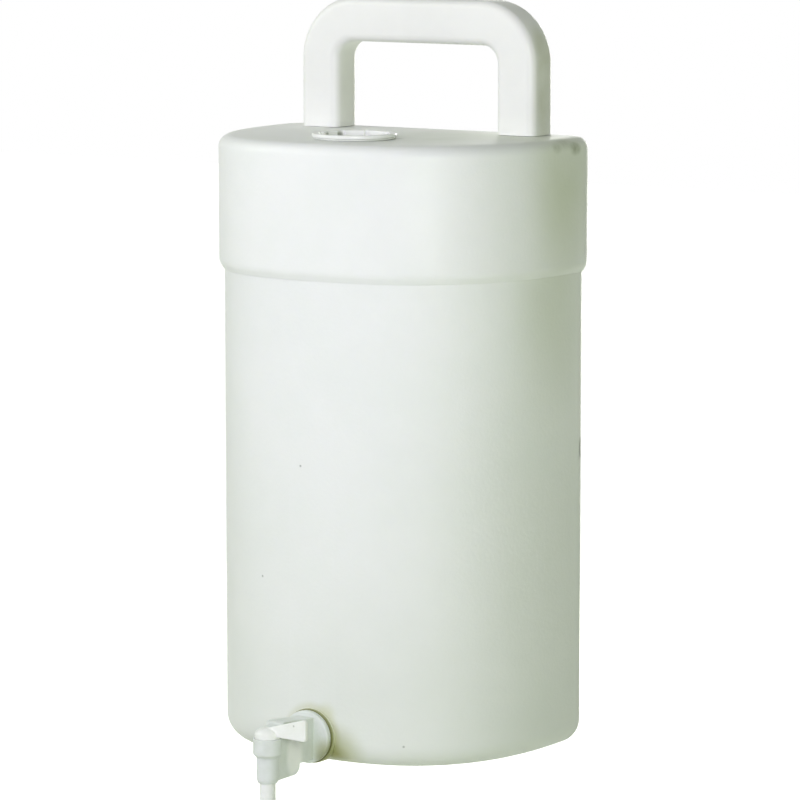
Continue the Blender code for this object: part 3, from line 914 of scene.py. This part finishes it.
@dataclass
class Tank:
    """The lower tank with its rounded base edge and the boss for the tap."""

    wall: float = 0.0030
    base_radius: float = 0.0150
    base_steps: int = 12
    boss_radius: float = 0.0170
    boss_proud: float = 0.0008
    boss_depth: float = 0.0120
    boss_edge: float = 0.0005
    tail_hole: float = 0.0073

    def build(self, shop: Workshop) -> None:
        """Make the tank and set it in the frame.

        Args:
            shop: What the piece is built with.
        """
        inner = self.base_radius - self.wall
        profile = filleted([
            (-self.base_radius, 0.0, 0.0), (0.0, 0.0, self.base_radius), *LAYOUT.bead(0.0),
            (0.0, LAYOUT.rim, self.wall / 3), (-self.wall, LAYOUT.rim, self.wall / 3),
            (-self.wall, self.wall, inner), (-self.base_radius, self.wall, 0.0)], self.base_steps)
        tank = shop.lofted("tank_shell", profile, Slot.TANK)
        seat = filleted([(0.0, -self.boss_depth, 0.0), (self.boss_radius, -self.boss_depth, 0.0),
                         (self.boss_radius, self.boss_proud, self.boss_edge), (0.0, self.boss_proud, 0.0)])
        boss = revolved("boss", seat, Sides.FINE)
        hole = rod("tail_hole", self.tail_hole, -2 * self.boss_depth, self.boss_depth)
        for tool in (boss, hole):
            tool.data.transform(forward(shop.plan, LAYOUT.tap_height))
        merged(tank, [boss], Merge.JOIN)
        merged(tank, [hole], Merge.CUT)
        shop.dress(tank, Body.BOTTLE, Slot.TANK, "tank_body")


@dataclass
class Cover:
    """The upper section that laps over the tank, with its roof and the filler's neck."""

    step: float = 0.2930
    wall: float = 0.0029
    edge_radius: float = 0.0075
    edge_steps: int = 10
    roof_flat: float = 0.0120
    lip: float = 0.0045
    lip_round: float = 0.0085
    ledge: float = 0.0030
    ledge_height: float = 0.0040
    ledge_round: float = 0.0005
    seal_height: float = 0.0020
    neck_radius: float = 0.0237
    neck_wall: float = 0.0032
    neck_depth: float = 0.0200
    leg_x: float = 0.0714

    def build(self, shop: Workshop) -> None:
        """Make the cover and set it in the frame.

        Args:
            shop: What the piece is built with.
        """
        top, outer = LAYOUT.roof, self.wall + GAP
        seat = LAYOUT.rim + self.seal_height + 2 * GAP
        over = seat + self.ledge_height
        profile = filleted([
            (-self.roof_flat, top - self.wall, 0.0), (GAP, top - self.wall, self.edge_radius - self.wall),
            (GAP, over + self.ledge, self.ledge_round), (-self.ledge, over, self.ledge_round),
            (-self.ledge, seat, 0.0), (GAP, seat, 0.0), *reversed(LAYOUT.bead(GAP)), (GAP, self.step, 0.0),
            (2 * GAP, self.step, 0.0), (outer, self.step + self.lip, self.lip_round),
            (outer, top, self.edge_radius), (-self.roof_flat, top, 0.0)], self.edge_steps)
        cover = shop.lofted("cover_shell", profile, Slot.COVER)
        here = (0.0, LAYOUT.filler_y, 0.0)
        low = top - self.neck_depth
        neck = rod("neck", self.neck_radius + self.neck_wall, low, top - self.wall / 2, here, Sides.FINE)
        holes = [rod("mouth", self.neck_radius, 0.0, 2 * top, here, Sides.FINE)]
        for side in BOTH_SIDES:
            place = (side * self.leg_x, LAYOUT.leg_y, 0.0)
            holes.append(rod("screw_hole", LAYOUT.screw_hole, low, 2 * top, place, Sides.HOLE))
        merged(cover, [neck], Merge.JOIN)
        merged(cover, holes, Merge.CUT)
        shop.dress(cover, Body.BOTTLE, Slot.COVER, "top_cover")


@dataclass
class Handle:
    """The loop handle: one soft-edged band bent into a square arch."""

    foot: float = 0.3753
    span: float = 0.1700
    band: float = 0.0272
    thickness: float = 0.0250
    edge_radius: float = 0.0055
    inner_radius: float = 0.0110
    grip: float = 0.4290
    screw_top: float = 0.4036
    bend_steps: int = 28
    edge_steps: int = 10

    @property
    def leg(self) -> float:
        """X of the middle of a leg."""
        return (self.span - self.band) / 2

    def path(self) -> list[Vector]:
        """Give the middle line of the band from foot to foot.

        Returns:
            Points of the line.
        """
        leg, bar = self.leg, self.grip + self.band / 2
        bend = self.inner_radius + self.band / 2
        corners = [(-leg, self.foot, 0.0), (-leg, bar, bend), (leg, bar, bend), (leg, self.foot, 0.0)]
        return [Vector((x, LAYOUT.leg_y, z)) for x, z in filleted(corners, self.bend_steps)]

    def section(self) -> list[Point]:
        """Give the closed outline of the band.

        Returns:
            Points of the outline.
        """
        a, b, radius = self.band / 2, self.thickness / 2, self.edge_radius
        corners = [(x, y, radius) for x, y in ((a, b), (-a, b), (-a, -b), (a, -b))]
        return filleted([(a, 0.0, 0.0), *corners, (a, 0.0, 0.0)], self.edge_steps)[:-1]

    def build(self, shop: Workshop) -> None:
        """Make the handle and set it in the frame.

        Args:
            shop: What the piece is built with.
        """
        handle = shop.swept("handle_loop", self.path(), self.section(), Slot.HANDLE)
        places = [(side * self.leg, LAYOUT.leg_y, 0.0) for side in BOTH_SIDES]
        holes = [rod("leg_hole", LAYOUT.screw_hole, 0.0, self.screw_top, place, Sides.HOLE) for place in places]
        merged(handle, holes, Merge.CUT)
        shop.dress(handle, Body.BOTTLE, Slot.HANDLE, "carry_handle")


@dataclass
class FillerPlug:
    """The screw plug: a flanged cup with grip notches round its recess and a thread on its skirt."""

    seat: float = 0.0014
    flange: float = 0.0020
    flange_radius: float = 0.0256
    rim: float = 0.0044
    rim_round: float = 0.0008
    recess: float = 0.0120
    floor: float = 0.0025
    floor_round: float = 0.0012
    wall_rows: int = 24
    under_round: float = 0.0002
    neck_round: float = 0.0003
    skirt: float = 0.0170
    skirt_wall: float = 0.0012
    skirt_round: float = 0.0006
    bore_edge: float = 0.0004
    bore_round: float = 0.0008
    root_radius: float = 0.0224
    crest_radius: float = 0.0234
    pitch: float = 0.0040
    thread_turns: float = 3.0
    thread_root: float = 0.0022
    thread_crest: float = 0.0009
    thread_sunk: float = 0.0002
    thread_start: float = 0.0022
    notches: int = 8
    notch_start: float = 10.4
    notch_half: float = 0.00225
    notch_depth: float = 0.0014
    notch_height: float = 0.0060
    notch_soft: float = 0.0007
    notch_past_round: float = 1.2

    @property
    def top(self) -> float:
        """Height of the rim."""
        return LAYOUT.roof + self.seat + self.flange

    @property
    def inner(self) -> float:
        """Radius of the recess."""
        return self.flange_radius - self.rim

    def notched(self, radius: float, height: float, angle: float) -> float:
        """Widen the recess where a grip notch runs down it.

        Args:
            radius: Radius of the plain profile.
            height: Height of the point.
            angle: Angle round the plug.

        Returns:
            The radius to use.
        """
        past = self.inner + self.rim_round * self.notch_past_round
        if radius > past or height < self.top - self.notch_height or radius < self.inner - WELD:
            return radius
        pitch = 2 * math.pi / self.notches
        off = (angle - math.radians(self.notch_start) + pitch / 2) % pitch - pitch / 2
        soft = self.notch_soft
        share = min(max((self.notch_half + soft / 2 - abs(off) * self.inner) / soft, 0.0), 1.0)
        return radius + self.notch_depth * share * share * (3 - 2 * share)

    def build(self, shop: Workshop) -> None:
        """Make the plug and its thread and set them in the frame.

        Args:
            shop: What the piece is built with.
        """
        top, inner = self.top, self.inner
        floor, end, under = top - self.recess, LAYOUT.roof - self.skirt, LAYOUT.roof + self.seat
        wall = [(inner, floor + self.recess * row / self.wall_rows) for row in range(3, self.wall_rows - 1)]
        profile = filleted([(0.0, floor, 0.0), (inner, floor, self.floor_round), (*wall[0], 0.0)])
        profile += wall[1:-1]
        bore = inner - self.skirt_wall
        profile += filleted([
            (*wall[-1], 0.0), (inner, top, self.rim_round), (self.flange_radius, top, self.rim_round),
            (self.flange_radius, under, self.under_round), (self.root_radius, under, self.neck_round),
            (self.root_radius, end, self.skirt_round), (bore, end, self.bore_edge),
            (bore, floor - self.floor, self.bore_round), (0.0, floor - self.floor, 0.0)])
        plug = revolved("filler_cup", profile, Sides.NOTCHED, self.notched)
        plug.data.transform(Matrix.Translation((0.0, LAYOUT.filler_y, 0.0)))
        shop.dress(plug, Body.FILLER_CAP, Slot.PLUG, "filler_plug")
        depth = self.crest_radius - self.root_radius + self.thread_sunk
        sizes = {"Radius": self.crest_radius - depth / 2, "Turns": self.thread_turns,
                 "Height": self.pitch * self.thread_turns, "Depth": depth, "Root": self.thread_root,
                 "Crest": self.thread_crest, "Place": (0.0, LAYOUT.filler_y, end + self.thread_start),
                 "Material": shop.finishes[Slot.PLUG]}
        ridge = grown(chain("plug_thread", [(0.0, 0.0, 0.0)]), shop.thread, sizes)
        shop.dress(ridge, Body.FILLER_CAP, Slot.PLUG)


@dataclass
class Tap:
    """The tap: flange and tail in the tank's wall, flat-sided housing, upright column and turning lever."""

    reach: float = 0.0469
    flange_radius: float = 0.0161
    flange_back: float = 0.0032
    flange_thickness: float = 0.0036
    flange_round: float = 0.0009
    flange_back_round: float = 0.0004
    tail_radius: float = 0.0070
    tail_end: float = 0.0241
    tail_round: float = 0.0006
    passage: float = 0.0030
    housing_half: float = 0.0059
    housing_top: float = 0.0329
    housing_top_back: float = 0.0295
    housing_bottom: float = -0.0018
    housing_back: float = 0.0212
    housing_back_radius: float = 0.0060
    housing_back_share: float = 0.98
    housing_top_radius: float = 0.0050
    housing_edge: float = 0.0014
    housing_steps: int = 10
    yoke_behind: float = 0.0054
    collar_radius: float = 0.0087
    collar_top: float = 0.0239
    collar_bottom: float = 0.0145
    taper_bottom: float = 0.0124
    spout_radius: float = 0.0066
    spout_chamfer: float = 0.0018
    spout_lip: float = 0.0007
    collar_round: float = 0.0002
    taper_round: float = 0.0008
    chamfer_round: float = 0.0004
    socket_radius: float = 0.00505
    socket_depth: float = 0.0110
    stop_lip: float = 0.0020
    chamber_radius: float = 0.0062
    hub_radius: float = 0.0076
    hub_side: float = 0.0026
    hub_seam: float = 0.00005
    hub_top: float = 0.0304
    lever_length: float = 0.0284
    lever_half: float = 0.0017
    lever_lift: float = 0.0016
    lever_root: float = 0.0046
    lever_tip: float = 0.0129
    lever_corner: float = 0.0020
    lever_edge: float = 0.0008
    stem_half: float = 0.0033
    stem_height: float = 0.0053
    stem_past: float = 0.0020
    stem_edge: float = 0.0001
    dome_rows: int = 16
    body_grain: float = 0.00028
    body_rounds: int = 3
    lever_grain: float = 0.00022
    lever_rounds: int = 4

    @property
    def lever_base(self) -> float:
        """Height of the lever's underside."""
        return self.collar_top + self.hub_seam

    def axis(self, shop: Workshop) -> Vector:
        """Give the place of the upright axis that the column and the lever share."""
        return Vector((0.0, shop.plan.front - self.reach, 0.0))

    def seat(self, shop: Workshop) -> Solid:
        """Make the flange and tail as one turned solid.

        Args:
            shop: What the piece is built with.

        Returns:
            The solid, in place.
        """
        front = self.flange_back + self.flange_thickness
        profile = filleted([(0.0, front, 0.0), (self.flange_radius, front, self.flange_round),
                            (self.flange_radius, self.flange_back, self.flange_back_round),
                            (self.tail_radius, self.flange_back, 0.0),
                            (self.tail_radius, -self.tail_end, self.tail_round), (0.0, -self.tail_end, 0.0)])
        made = revolved("tap_housing", profile, Sides.FINE)
        made.data.transform(forward(shop.plan, LAYOUT.tap_height))
        return made

    def housing(self, shop: Workshop) -> Solid:
        """Make the flat-sided housing between flange and column, in place.

        Args:
            shop: What the piece is built with.

        Returns:
            The solid.
        """
        nose = self.reach - self.yoke_behind
        shelf = self.collar_top - 2 * self.stop_lip
        inside = self.flange_back + self.flange_thickness / 2
        under = self.housing_bottom + self.housing_back_radius
        outline = filleted([
            (inside, self.housing_top_back, 0.0), (inside, under, 0.0), (self.housing_back, under, 0.0),
            (self.housing_back, self.housing_bottom, self.housing_back_radius * self.housing_back_share),
            (self.reach, self.housing_bottom, 0.0), (self.reach, shelf, 0.0), (nose, shelf, 0.0),
            (nose, self.housing_top, self.housing_top_radius), (inside, self.housing_top_back, 0.0)],
            self.housing_steps)[:-1]
        made = plate("housing", outline, self.housing_half, self.housing_edge,
                     lambda a, b, c: (c, shop.plan.front - a, b))
        room = rod("hub_room", self.hub_radius + 2 * GAP, self.collar_top - self.stop_lip, 2 * self.hub_top,
                   self.axis(shop), Sides.TURNED)
        return merged(made, [room], Merge.CUT)

    def column(self, shop: Workshop) -> Solid:
        """Make the upright column: collar, taper and spout, in place.

        Args:
            shop: What the piece is built with.

        Returns:
            The solid.
        """
        profile = filleted([
            (0.0, self.collar_top, 0.0), (self.collar_radius, self.collar_top, self.collar_round),
            (self.collar_radius, self.collar_bottom, self.taper_round),
            (self.spout_radius, self.taper_bottom, self.taper_round),
            (self.spout_radius, LAYOUT.spout_bottom + self.spout_chamfer, self.chamfer_round),
            (self.socket_radius + self.spout_lip, LAYOUT.spout_bottom, 0.0), (0.0, LAYOUT.spout_bottom, 0.0)])
        made = revolved("column", profile, Sides.FINE)
        made.data.transform(Matrix.Translation(self.axis(shop)))
        return made

    def bores(self, shop: Workshop) -> list[Solid]:
        """Make the tools that cut the chamber, the hose socket and the passage from the tank.

        Args:
            shop: What the piece is built with.

        Returns:
            The tools, in place.
        """
        socket_top = LAYOUT.spout_bottom + self.socket_depth
        floor = socket_top + self.stop_lip
        above = self.collar_top + self.stop_lip
        below = LAYOUT.spout_bottom - self.stop_lip
        profile = [(0.0, above), (self.chamber_radius, above), (self.chamber_radius, floor), (self.passage, floor),
                   (self.passage, socket_top), (self.socket_radius, socket_top), (self.socket_radius, below),
                   (0.0, below)]
        upright = revolved("upright_bores", profile, Sides.BORE)
        upright.data.transform(Matrix.Translation(self.axis(shop)))
        through = rod("passage", self.passage, -2 * self.tail_end, self.reach, steps=Sides.TUBE)
        through.data.transform(forward(shop.plan, LAYOUT.tap_height))
        return [upright, through]

    def lever(self, shop: Workshop) -> Solid:
        """Make the domed lever with its flared wing.

        Args:
            shop: What the piece is built with.

        Returns:
            The solid, on the frame's own axis.
        """
        base = self.lever_base
        side = base + self.hub_side
        dome = [(self.hub_radius * math.cos(t), side + (self.hub_top - side) * math.sin(t))
                for t in (math.pi / 2 * i / self.dome_rows for i in range(self.dome_rows))]
        lever = revolved("lever_wing", [(0.0, base), (self.hub_radius, base), *dome, (0.0, self.hub_top)])
        low = base + self.lever_lift
        corner = self.lever_corner
        outline = filleted([
            (0.0, low, 0.0), (self.lever_length, low - self.lever_edge, corner),
            (self.lever_length, low + self.lever_tip, corner), (0.0, low + self.lever_root, 0.0),
            (0.0, low, 0.0)])[:-1]
        wing = plate("wing", outline, self.lever_half, self.lever_edge, lambda a, b, c: (a, c, b))
        return merged(lever, [wing], Merge.JOIN)

    def build(self, shop: Workshop) -> None:
        """Make the tap's body and lever and set them in the frame.

        Args:
            shop: What the piece is built with.
        """
        body = merged(self.seat(shop), [self.housing(shop), self.column(shop)], Merge.JOIN)
        moulded(body, self.body_grain, self.body_rounds)
        merged(body, self.bores(shop), Merge.CUT)
        shop.dress(body, Body.BOTTLE, Slot.TAP, "tap_body")
        lever = moulded(self.lever(shop), self.lever_grain, self.lever_rounds)
        half, low, high = self.stem_half, self.lever_base - self.stem_past, self.collar_top + self.stem_height
        tool = plate("stem_socket", [(-half, low), (half, low), (half, high), (-half, high)], half, self.stem_edge,
                     lambda a, b, c: (a, c, b))
        merged(lever, [tool], Merge.CUT)
        lever.data.transform(Matrix.Translation(self.axis(shop)))
        shop.dress(lever, Body.TAP_KEY, Slot.LEVER, "tap_lever")


@dataclass
class Hose:
    """The hose: pushed up into the spout's socket, hanging with a slight set from its roll."""

    top: float = 0.0076
    bottom: float = -0.2451
    y: float = -0.1189
    radius: float = 0.00475
    bore: float = 0.0031
    bore_past: float = 0.0020
    shares: tuple[float, ...] = (0.0, 0.06, 0.16, 0.42, 0.74, 1.0)
    sway: tuple[Point, ...] = ((0.0, 0.0), (0.0, 0.0), (0.0, 0.0), (0.0010, -0.0014), (0.0030, -0.0044),
                               (0.0046, -0.0070))
    steps: int = 8

    def route(self) -> list[Vector]:
        """Give the middle line from the socket to the cut end, as a smooth curve through its knots.

        Returns:
            Points of the line.
        """
        knots = [Vector((x, self.y + y, self.top + (self.bottom - self.top) * share))
                 for (x, y), share in zip(self.sway, self.shares)]
        ends = [knots[0] * 2 - knots[1], *knots, knots[-1] * 2 - knots[-2]]
        points = []
        for a, b, c, d in zip(ends, ends[1:], ends[2:], ends[3:]):
            for step in range(self.steps):
                t = step / self.steps
                points.append(0.5 * (2 * b + (c - a) * t + (2 * a - 5 * b + 4 * c - d) * t**2
                                     + (3 * b - a - 3 * c + d) * t**3))
        return [*points, knots[-1]]

    def build(self, shop: Workshop) -> None:
        """Make the hose with its open end and set it in the frame.

        Args:
            shop: What the piece is built with.
        """
        path = self.route()
        angles = [2 * math.pi * i / Sides.TUBE for i in range(Sides.TUBE)]
        circle = [(math.cos(angle), math.sin(angle)) for angle in angles]
        hose = shop.swept("hanging_hose", path, [(a * self.radius, b * self.radius) for a, b in circle], Slot.HOSE)
        longer = [path[0] + Vector((0.0, 0.0, self.bore_past)), *path[1:-1], path[-1] * 2 - path[-2]]
        core = shop.swept("hose_bore", longer, [(a * self.bore, b * self.bore) for a, b in circle], Slot.HOSE)
        merged(hose, [core], Merge.CUT)
        shop.dress(hose, Body.BOTTLE, Slot.HOSE, "outlet_hose")


def aimed(name: str, data: bpy.types.ID, place: Place, target: Place) -> Solid:
    """Put a lamp or a camera in the scene, facing a place.

    Args:
        name: Name of the object.
        data: The lamp or the camera.
        place: Where it stands.
        target: Where it faces.

    Returns:
        The new object.
    """
    made = bpy.data.objects.new(name, data)
    made.location = place
    made.rotation_euler = (Vector(target) - Vector(place)).to_track_quat("-Z", "Y").to_euler()
    bpy.context.scene.collection.objects.link(made)
    return made


@dataclass(frozen=True)
class Lamp:
    """A square area lamp that faces the bottle."""

    name: str
    place: Place
    size: float
    power: float
    colour: tuple[float, float, float]
    mirrored: bool = True

    def hang(self, target: Place) -> None:
        """Hang the lamp so that it faces a place.

        Args:
            target: Where it faces.
        """
        data = bpy.data.lights.new(self.name, "AREA")
        data.size = self.size
        data.energy = self.power
        data.color = self.colour
        aimed(self.name, data, self.place, target).visible_glossy = self.mirrored


@dataclass
class Studio:
    """The camera, a pale floor, and soft light from the left, the right, the front and low behind."""

    camera_place: Place = (1.382, -2.110, 0.563)
    target: Place = (-0.0158, 0.0506, 0.2060)
    lens: float = 187.1
    sensor: float = 36.0
    floor_height: float = -0.2456
    floor_half: float = 6.0
    lamps: tuple[Lamp, ...] = (
        Lamp("left_box", (-1.425, -0.823, 1.150), size=1.2, power=14.6, colour=(0.945, 1.030, 0.850)),
        Lamp("key", (1.195, -1.424, 0.595), size=0.5, power=13.9, colour=(0.990, 1.060, 0.930)),
        Lamp("front_fill", (0.0, -1.785, 0.850), size=0.9, power=9.0, colour=(1.020, 0.830, 1.380), mirrored=False),
        Lamp("back_box", (-0.500, 1.800, 0.300), size=0.9, power=16.0, colour=(1.0, 1.0, 0.96)),
    )
    ambient: Colour = (0.100, 0.120, 0.080, 1.0)
    floor_tone: Colour = (0.68, 0.72, 0.61, 1.0)
    floor_roughness: float = 0.9
    floor_gloss: float = 0.65

    def camera(self) -> None:
        """Set the camera at the photograph's angle."""
        data = bpy.data.cameras.new("view")
        data.lens = self.lens
        data.sensor_width = self.sensor
        bpy.context.scene.camera = aimed("view", data, self.camera_place, self.target)

    def world(self) -> None:
        """Write the world: white to rays from the camera, a gloss or clear plastic, a dim tint where it lights."""
        made = bpy.data.worlds.new("studio")
        made.use_nodes = True
        graph = Graph(made.node_tree)
        path = graph.node("ShaderNodeLightPath").outputs
        shown = graph.number("MAXIMUM", path["Is Camera Ray"], path["Is Glossy Ray"])
        shown = graph.number("MAXIMUM", shown, path["Is Transmission Ray"])
        graph.feed(made.node_tree.nodes["Background"], {"Color": graph.blend(shown, self.ambient, WHITE)})
        bpy.context.scene.world = made

    def floor(self) -> None:
        """Lay the pale floor under the hose's end, white to the camera and dimmer in a gloss."""
        shape = bmesh.new()
        bmesh.ops.create_grid(shape, x_segments=1, y_segments=1, size=self.floor_half)
        made = solid("floor", shape)
        made.data.transform(Matrix.Translation((0.0, 0.0, self.floor_height)))
        paint, graph, shader = new_material("pale_floor")
        graph.feed(shader, {"Base Color": self.floor_tone, "Roughness": self.floor_roughness})
        path = graph.node("ShaderNodeLightPath").outputs
        mirrored = graph.number("MULTIPLY", path["Is Glossy Ray"], self.floor_gloss)
        seen = graph.number("MAXIMUM", path["Is Camera Ray"], mirrored)
        glow = graph.out("ShaderNodeEmission", {"Color": WHITE, "Strength": seen})
        both = graph.out("ShaderNodeAddShader", {0: shader.outputs[0], 1: glow})
        graph.feed(paint.node_tree.nodes["Material Output"], {"Surface": both})
        made.data.materials.append(paint)

    def build(self) -> None:
        """Set up camera, light and floor."""
        self.camera()
        self.world()
        self.floor()
        for lamp in self.lamps:
            lamp.hang(self.target)
        bpy.context.scene.view_settings.view_transform = "Standard"


SPECKS = ((-0.0077, -0.0719, 0.1809), (-0.0379, -0.0687, 0.1104), (0.0591, -0.0612, 0.0148))
PATCHES: dict[Slot, tuple[Patch, ...]] = {
    # Painted shade on the right side, at the lower left and towards the bottom, dirt round the tap, three specks and
    # a mark on the right edge.
    Slot.TANK: (
        # Painted shade on the tank's right side.
        Patch(srgb(206, 212, 190), (0.1090, 0.0300, 0.2800), near=0.0100, far=0.1000, strength=0.55, breakup=8.0,
              stretch=(1.0, 2.0, 1.0)),
        # Painted shade at the lower left edge.
        Patch(srgb(205, 211, 200), (-0.1090, 0.0100, 0.0300), near=0.0100, far=0.0800, strength=0.45, breakup=8.0,
              stretch=(2.0, 1.0, 0.8)),
        # Painted shade, darker towards the bottom.
        Patch(srgb(214, 219, 208), (0.0, 0.0, 0.0), near=0.0300, far=0.3000, strength=0.50, breakup=6.0,
              stretch=(0.0, 0.0, 1.0)),
        Patch(srgb(192, 195, 150), (0.0, -0.0720, 0.0170), near=0.0165, far=0.0220, strength=0.50, breakup=40.0),
        Patch(srgb(206, 209, 172), (0.0110, -0.0720, 0.0320), near=0.0010, far=0.0085, strength=0.45, breakup=40.0),
        Patch(srgb(178, 181, 128), (0.0165, -0.0715, 0.0065), near=0.0030, far=0.0240, strength=0.70, breakup=40.0),
        Patch(srgb(134, 134, 62), (0.0150, -0.0715, 0.0050), near=0.0020, far=0.0120, strength=0.90, breakup=60.0),
        *(Patch(srgb(116, 122, 112), place, near=0.0004, far=0.0010, strength=0.65) for place in SPECKS),
        Patch(srgb(92, 96, 84), (0.1084, 0.0618, 0.1838), near=0.0010, far=0.0034, strength=0.85, breakup=160.0,
              stretch=(1.0, 1.0, 0.30)),
    ),
    # Painted shade on the right side, three dark olive marks on the shoulder, painted shade over the roof's middle
    # and right, and a painted shadow beside the plug.
    Slot.COVER: (
        # Painted shade on the cover's right side.
        Patch(srgb(196, 204, 170), (0.1120, 0.0350, 0.3600), near=0.0100, far=0.1000, strength=0.62, breakup=8.0,
              stretch=(1.0, 2.2, 1.0)),
        Patch(srgb(150, 158, 124), (0.1113, 0.0280, 0.3708), near=0.0005, far=0.0050, strength=0.50, breakup=300.0,
              stretch=(1.0, 0.8, 1.0)),
        Patch(srgb(132, 140, 104), (0.1119, 0.0480, 0.3692), near=0.0010, far=0.0056, strength=0.70, breakup=300.0,
              stretch=(1.0, 0.7, 1.0)),
        Patch(srgb(160, 168, 136), (0.1098, 0.0380, 0.3730), near=0.0005, far=0.0062, strength=0.45, breakup=300.0,
              stretch=(1.0, 0.5, 1.0)),
        # Painted shade over the roof's middle and right.
        Patch(srgb(200, 207, 192), (0.0450, 0.0120, 0.3750), near=0.0100, far=0.0850, strength=0.85, breakup=8.0,
              stretch=(1.0, 1.0, 6.0)),
        # Painted shadow of the plug's flange on the roof, at its right end.
        Patch(srgb(146, 152, 136), (0.0228, -0.0112, 0.3750), near=0.0008, far=0.0042, strength=0.60),
    ),
    # Painted shade on the right side of each leg.
    Slot.HANDLE: (
        Patch(srgb(160, 166, 112), (0.0850, 0.0560, 0.4150), near=0.0040, far=0.0125, strength=0.45, breakup=40.0,
              stretch=(1.0, 1.0, 0.18)),
        Patch(srgb(160, 166, 112), (-0.0578, 0.0560, 0.4000), near=0.0030, far=0.0120, strength=0.12, breakup=40.0,
              stretch=(1.0, 1.0, 0.25)),
    ),
    # Two patches of painted shade inside the rim, for the shaded sides of grip notches.
    Slot.PLUG: (
        Patch(srgb(116, 120, 106), (-0.0182, -0.0122, 0.3762), near=0.0008, far=0.0030, strength=0.90),
        Patch(srgb(116, 120, 106), (-0.0216, -0.0222, 0.3766), near=0.0005, far=0.0020, strength=0.65),
    ),
    # Painted light on the housing's right side and two patches of dirt on the flange.
    Slot.TAP: (
        # Painted light on the housing's right side.
        Patch(srgb(255, 255, 254), (0.0059, -0.0990, 0.0110), near=0.0050, far=0.0105, strength=1.0, breakup=10.0,
              stretch=(1.0, 1.0, 0.55)),
        Patch(srgb(152, 154, 100), (0.0145, -0.0755, 0.0085), near=0.0020, far=0.0120, strength=0.80, breakup=40.0),
        Patch(srgb(112, 116, 60), (0.0125, -0.0755, 0.0035), near=0.0020, far=0.0090, strength=0.85, breakup=60.0),
    ),
    # Dust all over, dirt at the lower right and a pale rear half.
    Slot.RUBBER: (
        Patch(srgb(138, 141, 100), (0.0, -0.0740, 0.0170), near=0.0190, far=0.0240, strength=1.70, breakup=60.0),
        Patch(srgb(104, 105, 52), (0.0130, -0.0740, 0.0080), near=0.0080, far=0.0240, strength=0.90, breakup=60.0),
        Patch(srgb(192, 195, 150), (0.0, -0.0734, 0.0170), near=0.0006, far=0.0010, strength=0.85, breakup=60.0,
              stretch=(0.0, 1.0, 0.0)),
    ),
    # A mark on the wing.
    Slot.LEVER: (
        Patch(srgb(160, 162, 150), (0.0200, -0.1206, 0.0337), near=0.0002, far=0.0009, strength=0.75),
    ),
}


def finishes() -> dict[Slot, Paint]:
    """Write every finish of the bottle.

    Returns:
        The materials by slot.
    """
    groups = ShaderGroups()
    small = {"cloud_scale": 60.0}
    rubbery = {"cloud_scale": 90.0, "peel_scale": 900.0}
    made = {
        Slot.TANK: ResinFinish("tank_resin", srgb(248, 249, 248), srgb(245, 247, 245), roughness=0.46, depth=0.1,
                               patches=PATCHES[Slot.TANK]),
        Slot.COVER: ResinFinish("cover_resin", srgb(246, 247, 245), srgb(243, 245, 242), roughness=0.46, depth=0.1,
                                patches=PATCHES[Slot.COVER]),
        Slot.HANDLE: ResinFinish("handle_resin", srgb(247, 247, 244), srgb(243, 243, 240), roughness=0.40, depth=0.1,
                                 patches=PATCHES[Slot.HANDLE]),
        Slot.PLUG: ResinFinish("plug_resin", srgb(251, 252, 249), srgb(247, 248, 244), roughness=0.36, depth=0.1,
                               patches=PATCHES[Slot.PLUG]),
        Slot.TAP: ResinFinish("tap_resin", srgb(227, 231, 228), srgb(218, 223, 217), roughness=0.38, depth=0.15,
                              patches=PATCHES[Slot.TAP], **small),
        Slot.LEVER: ResinFinish("lever_resin", srgb(247, 248, 244), srgb(242, 244, 238), roughness=0.34, depth=0.1,
                                patches=PATCHES[Slot.LEVER], **small),
        Slot.HOSE: ResinFinish("hose_resin", srgb(246, 247, 244), srgb(240, 242, 237), roughness=0.34, depth=0.15,
                               **small),
        Slot.RUBBER: ResinFinish("seal_rubber", srgb(44, 44, 43), srgb(34, 34, 33), roughness=0.68,
                                 patches=PATCHES[Slot.RUBBER], **rubbery),
        Slot.SOFT: ResinFinish("soft_seal", srgb(234, 236, 231), srgb(226, 229, 222), roughness=0.60, **rubbery),
    }
    return {**{slot: finish.build(groups) for slot, finish in made.items()}, Slot.STEEL: SteelFinish().build()}


def dress_frame(materials: Mapping[Slot, Paint]) -> None:
    """Give the CAD nodes that stay in view the finish of their slot.

    Args:
        materials: The materials by slot.
    """
    for subpart in frame["record"]["subparts"]:
        node = frame["nodes"][subpart["node"]]
        node.data.materials.clear()
        node.data.materials.append(materials[Slot(subpart["material_slot"])])


def main() -> None:
    """Build the finishes, the studio and every sub-assembly."""
    logging.basicConfig(level=logging.INFO, format="%(message)s")
    materials = finishes()
    dress_frame(materials)
    shop = Workshop(Plan(), plan_loft_tree(), path_sweep_tree(), screw_thread_tree(), materials)
    Studio().build()
    for assembly in (Hose(), Tank(), Cover(), Handle(), FillerPlug(), Tap()):
        assembly.build(shop)


if __name__ == "__main__":
    main()
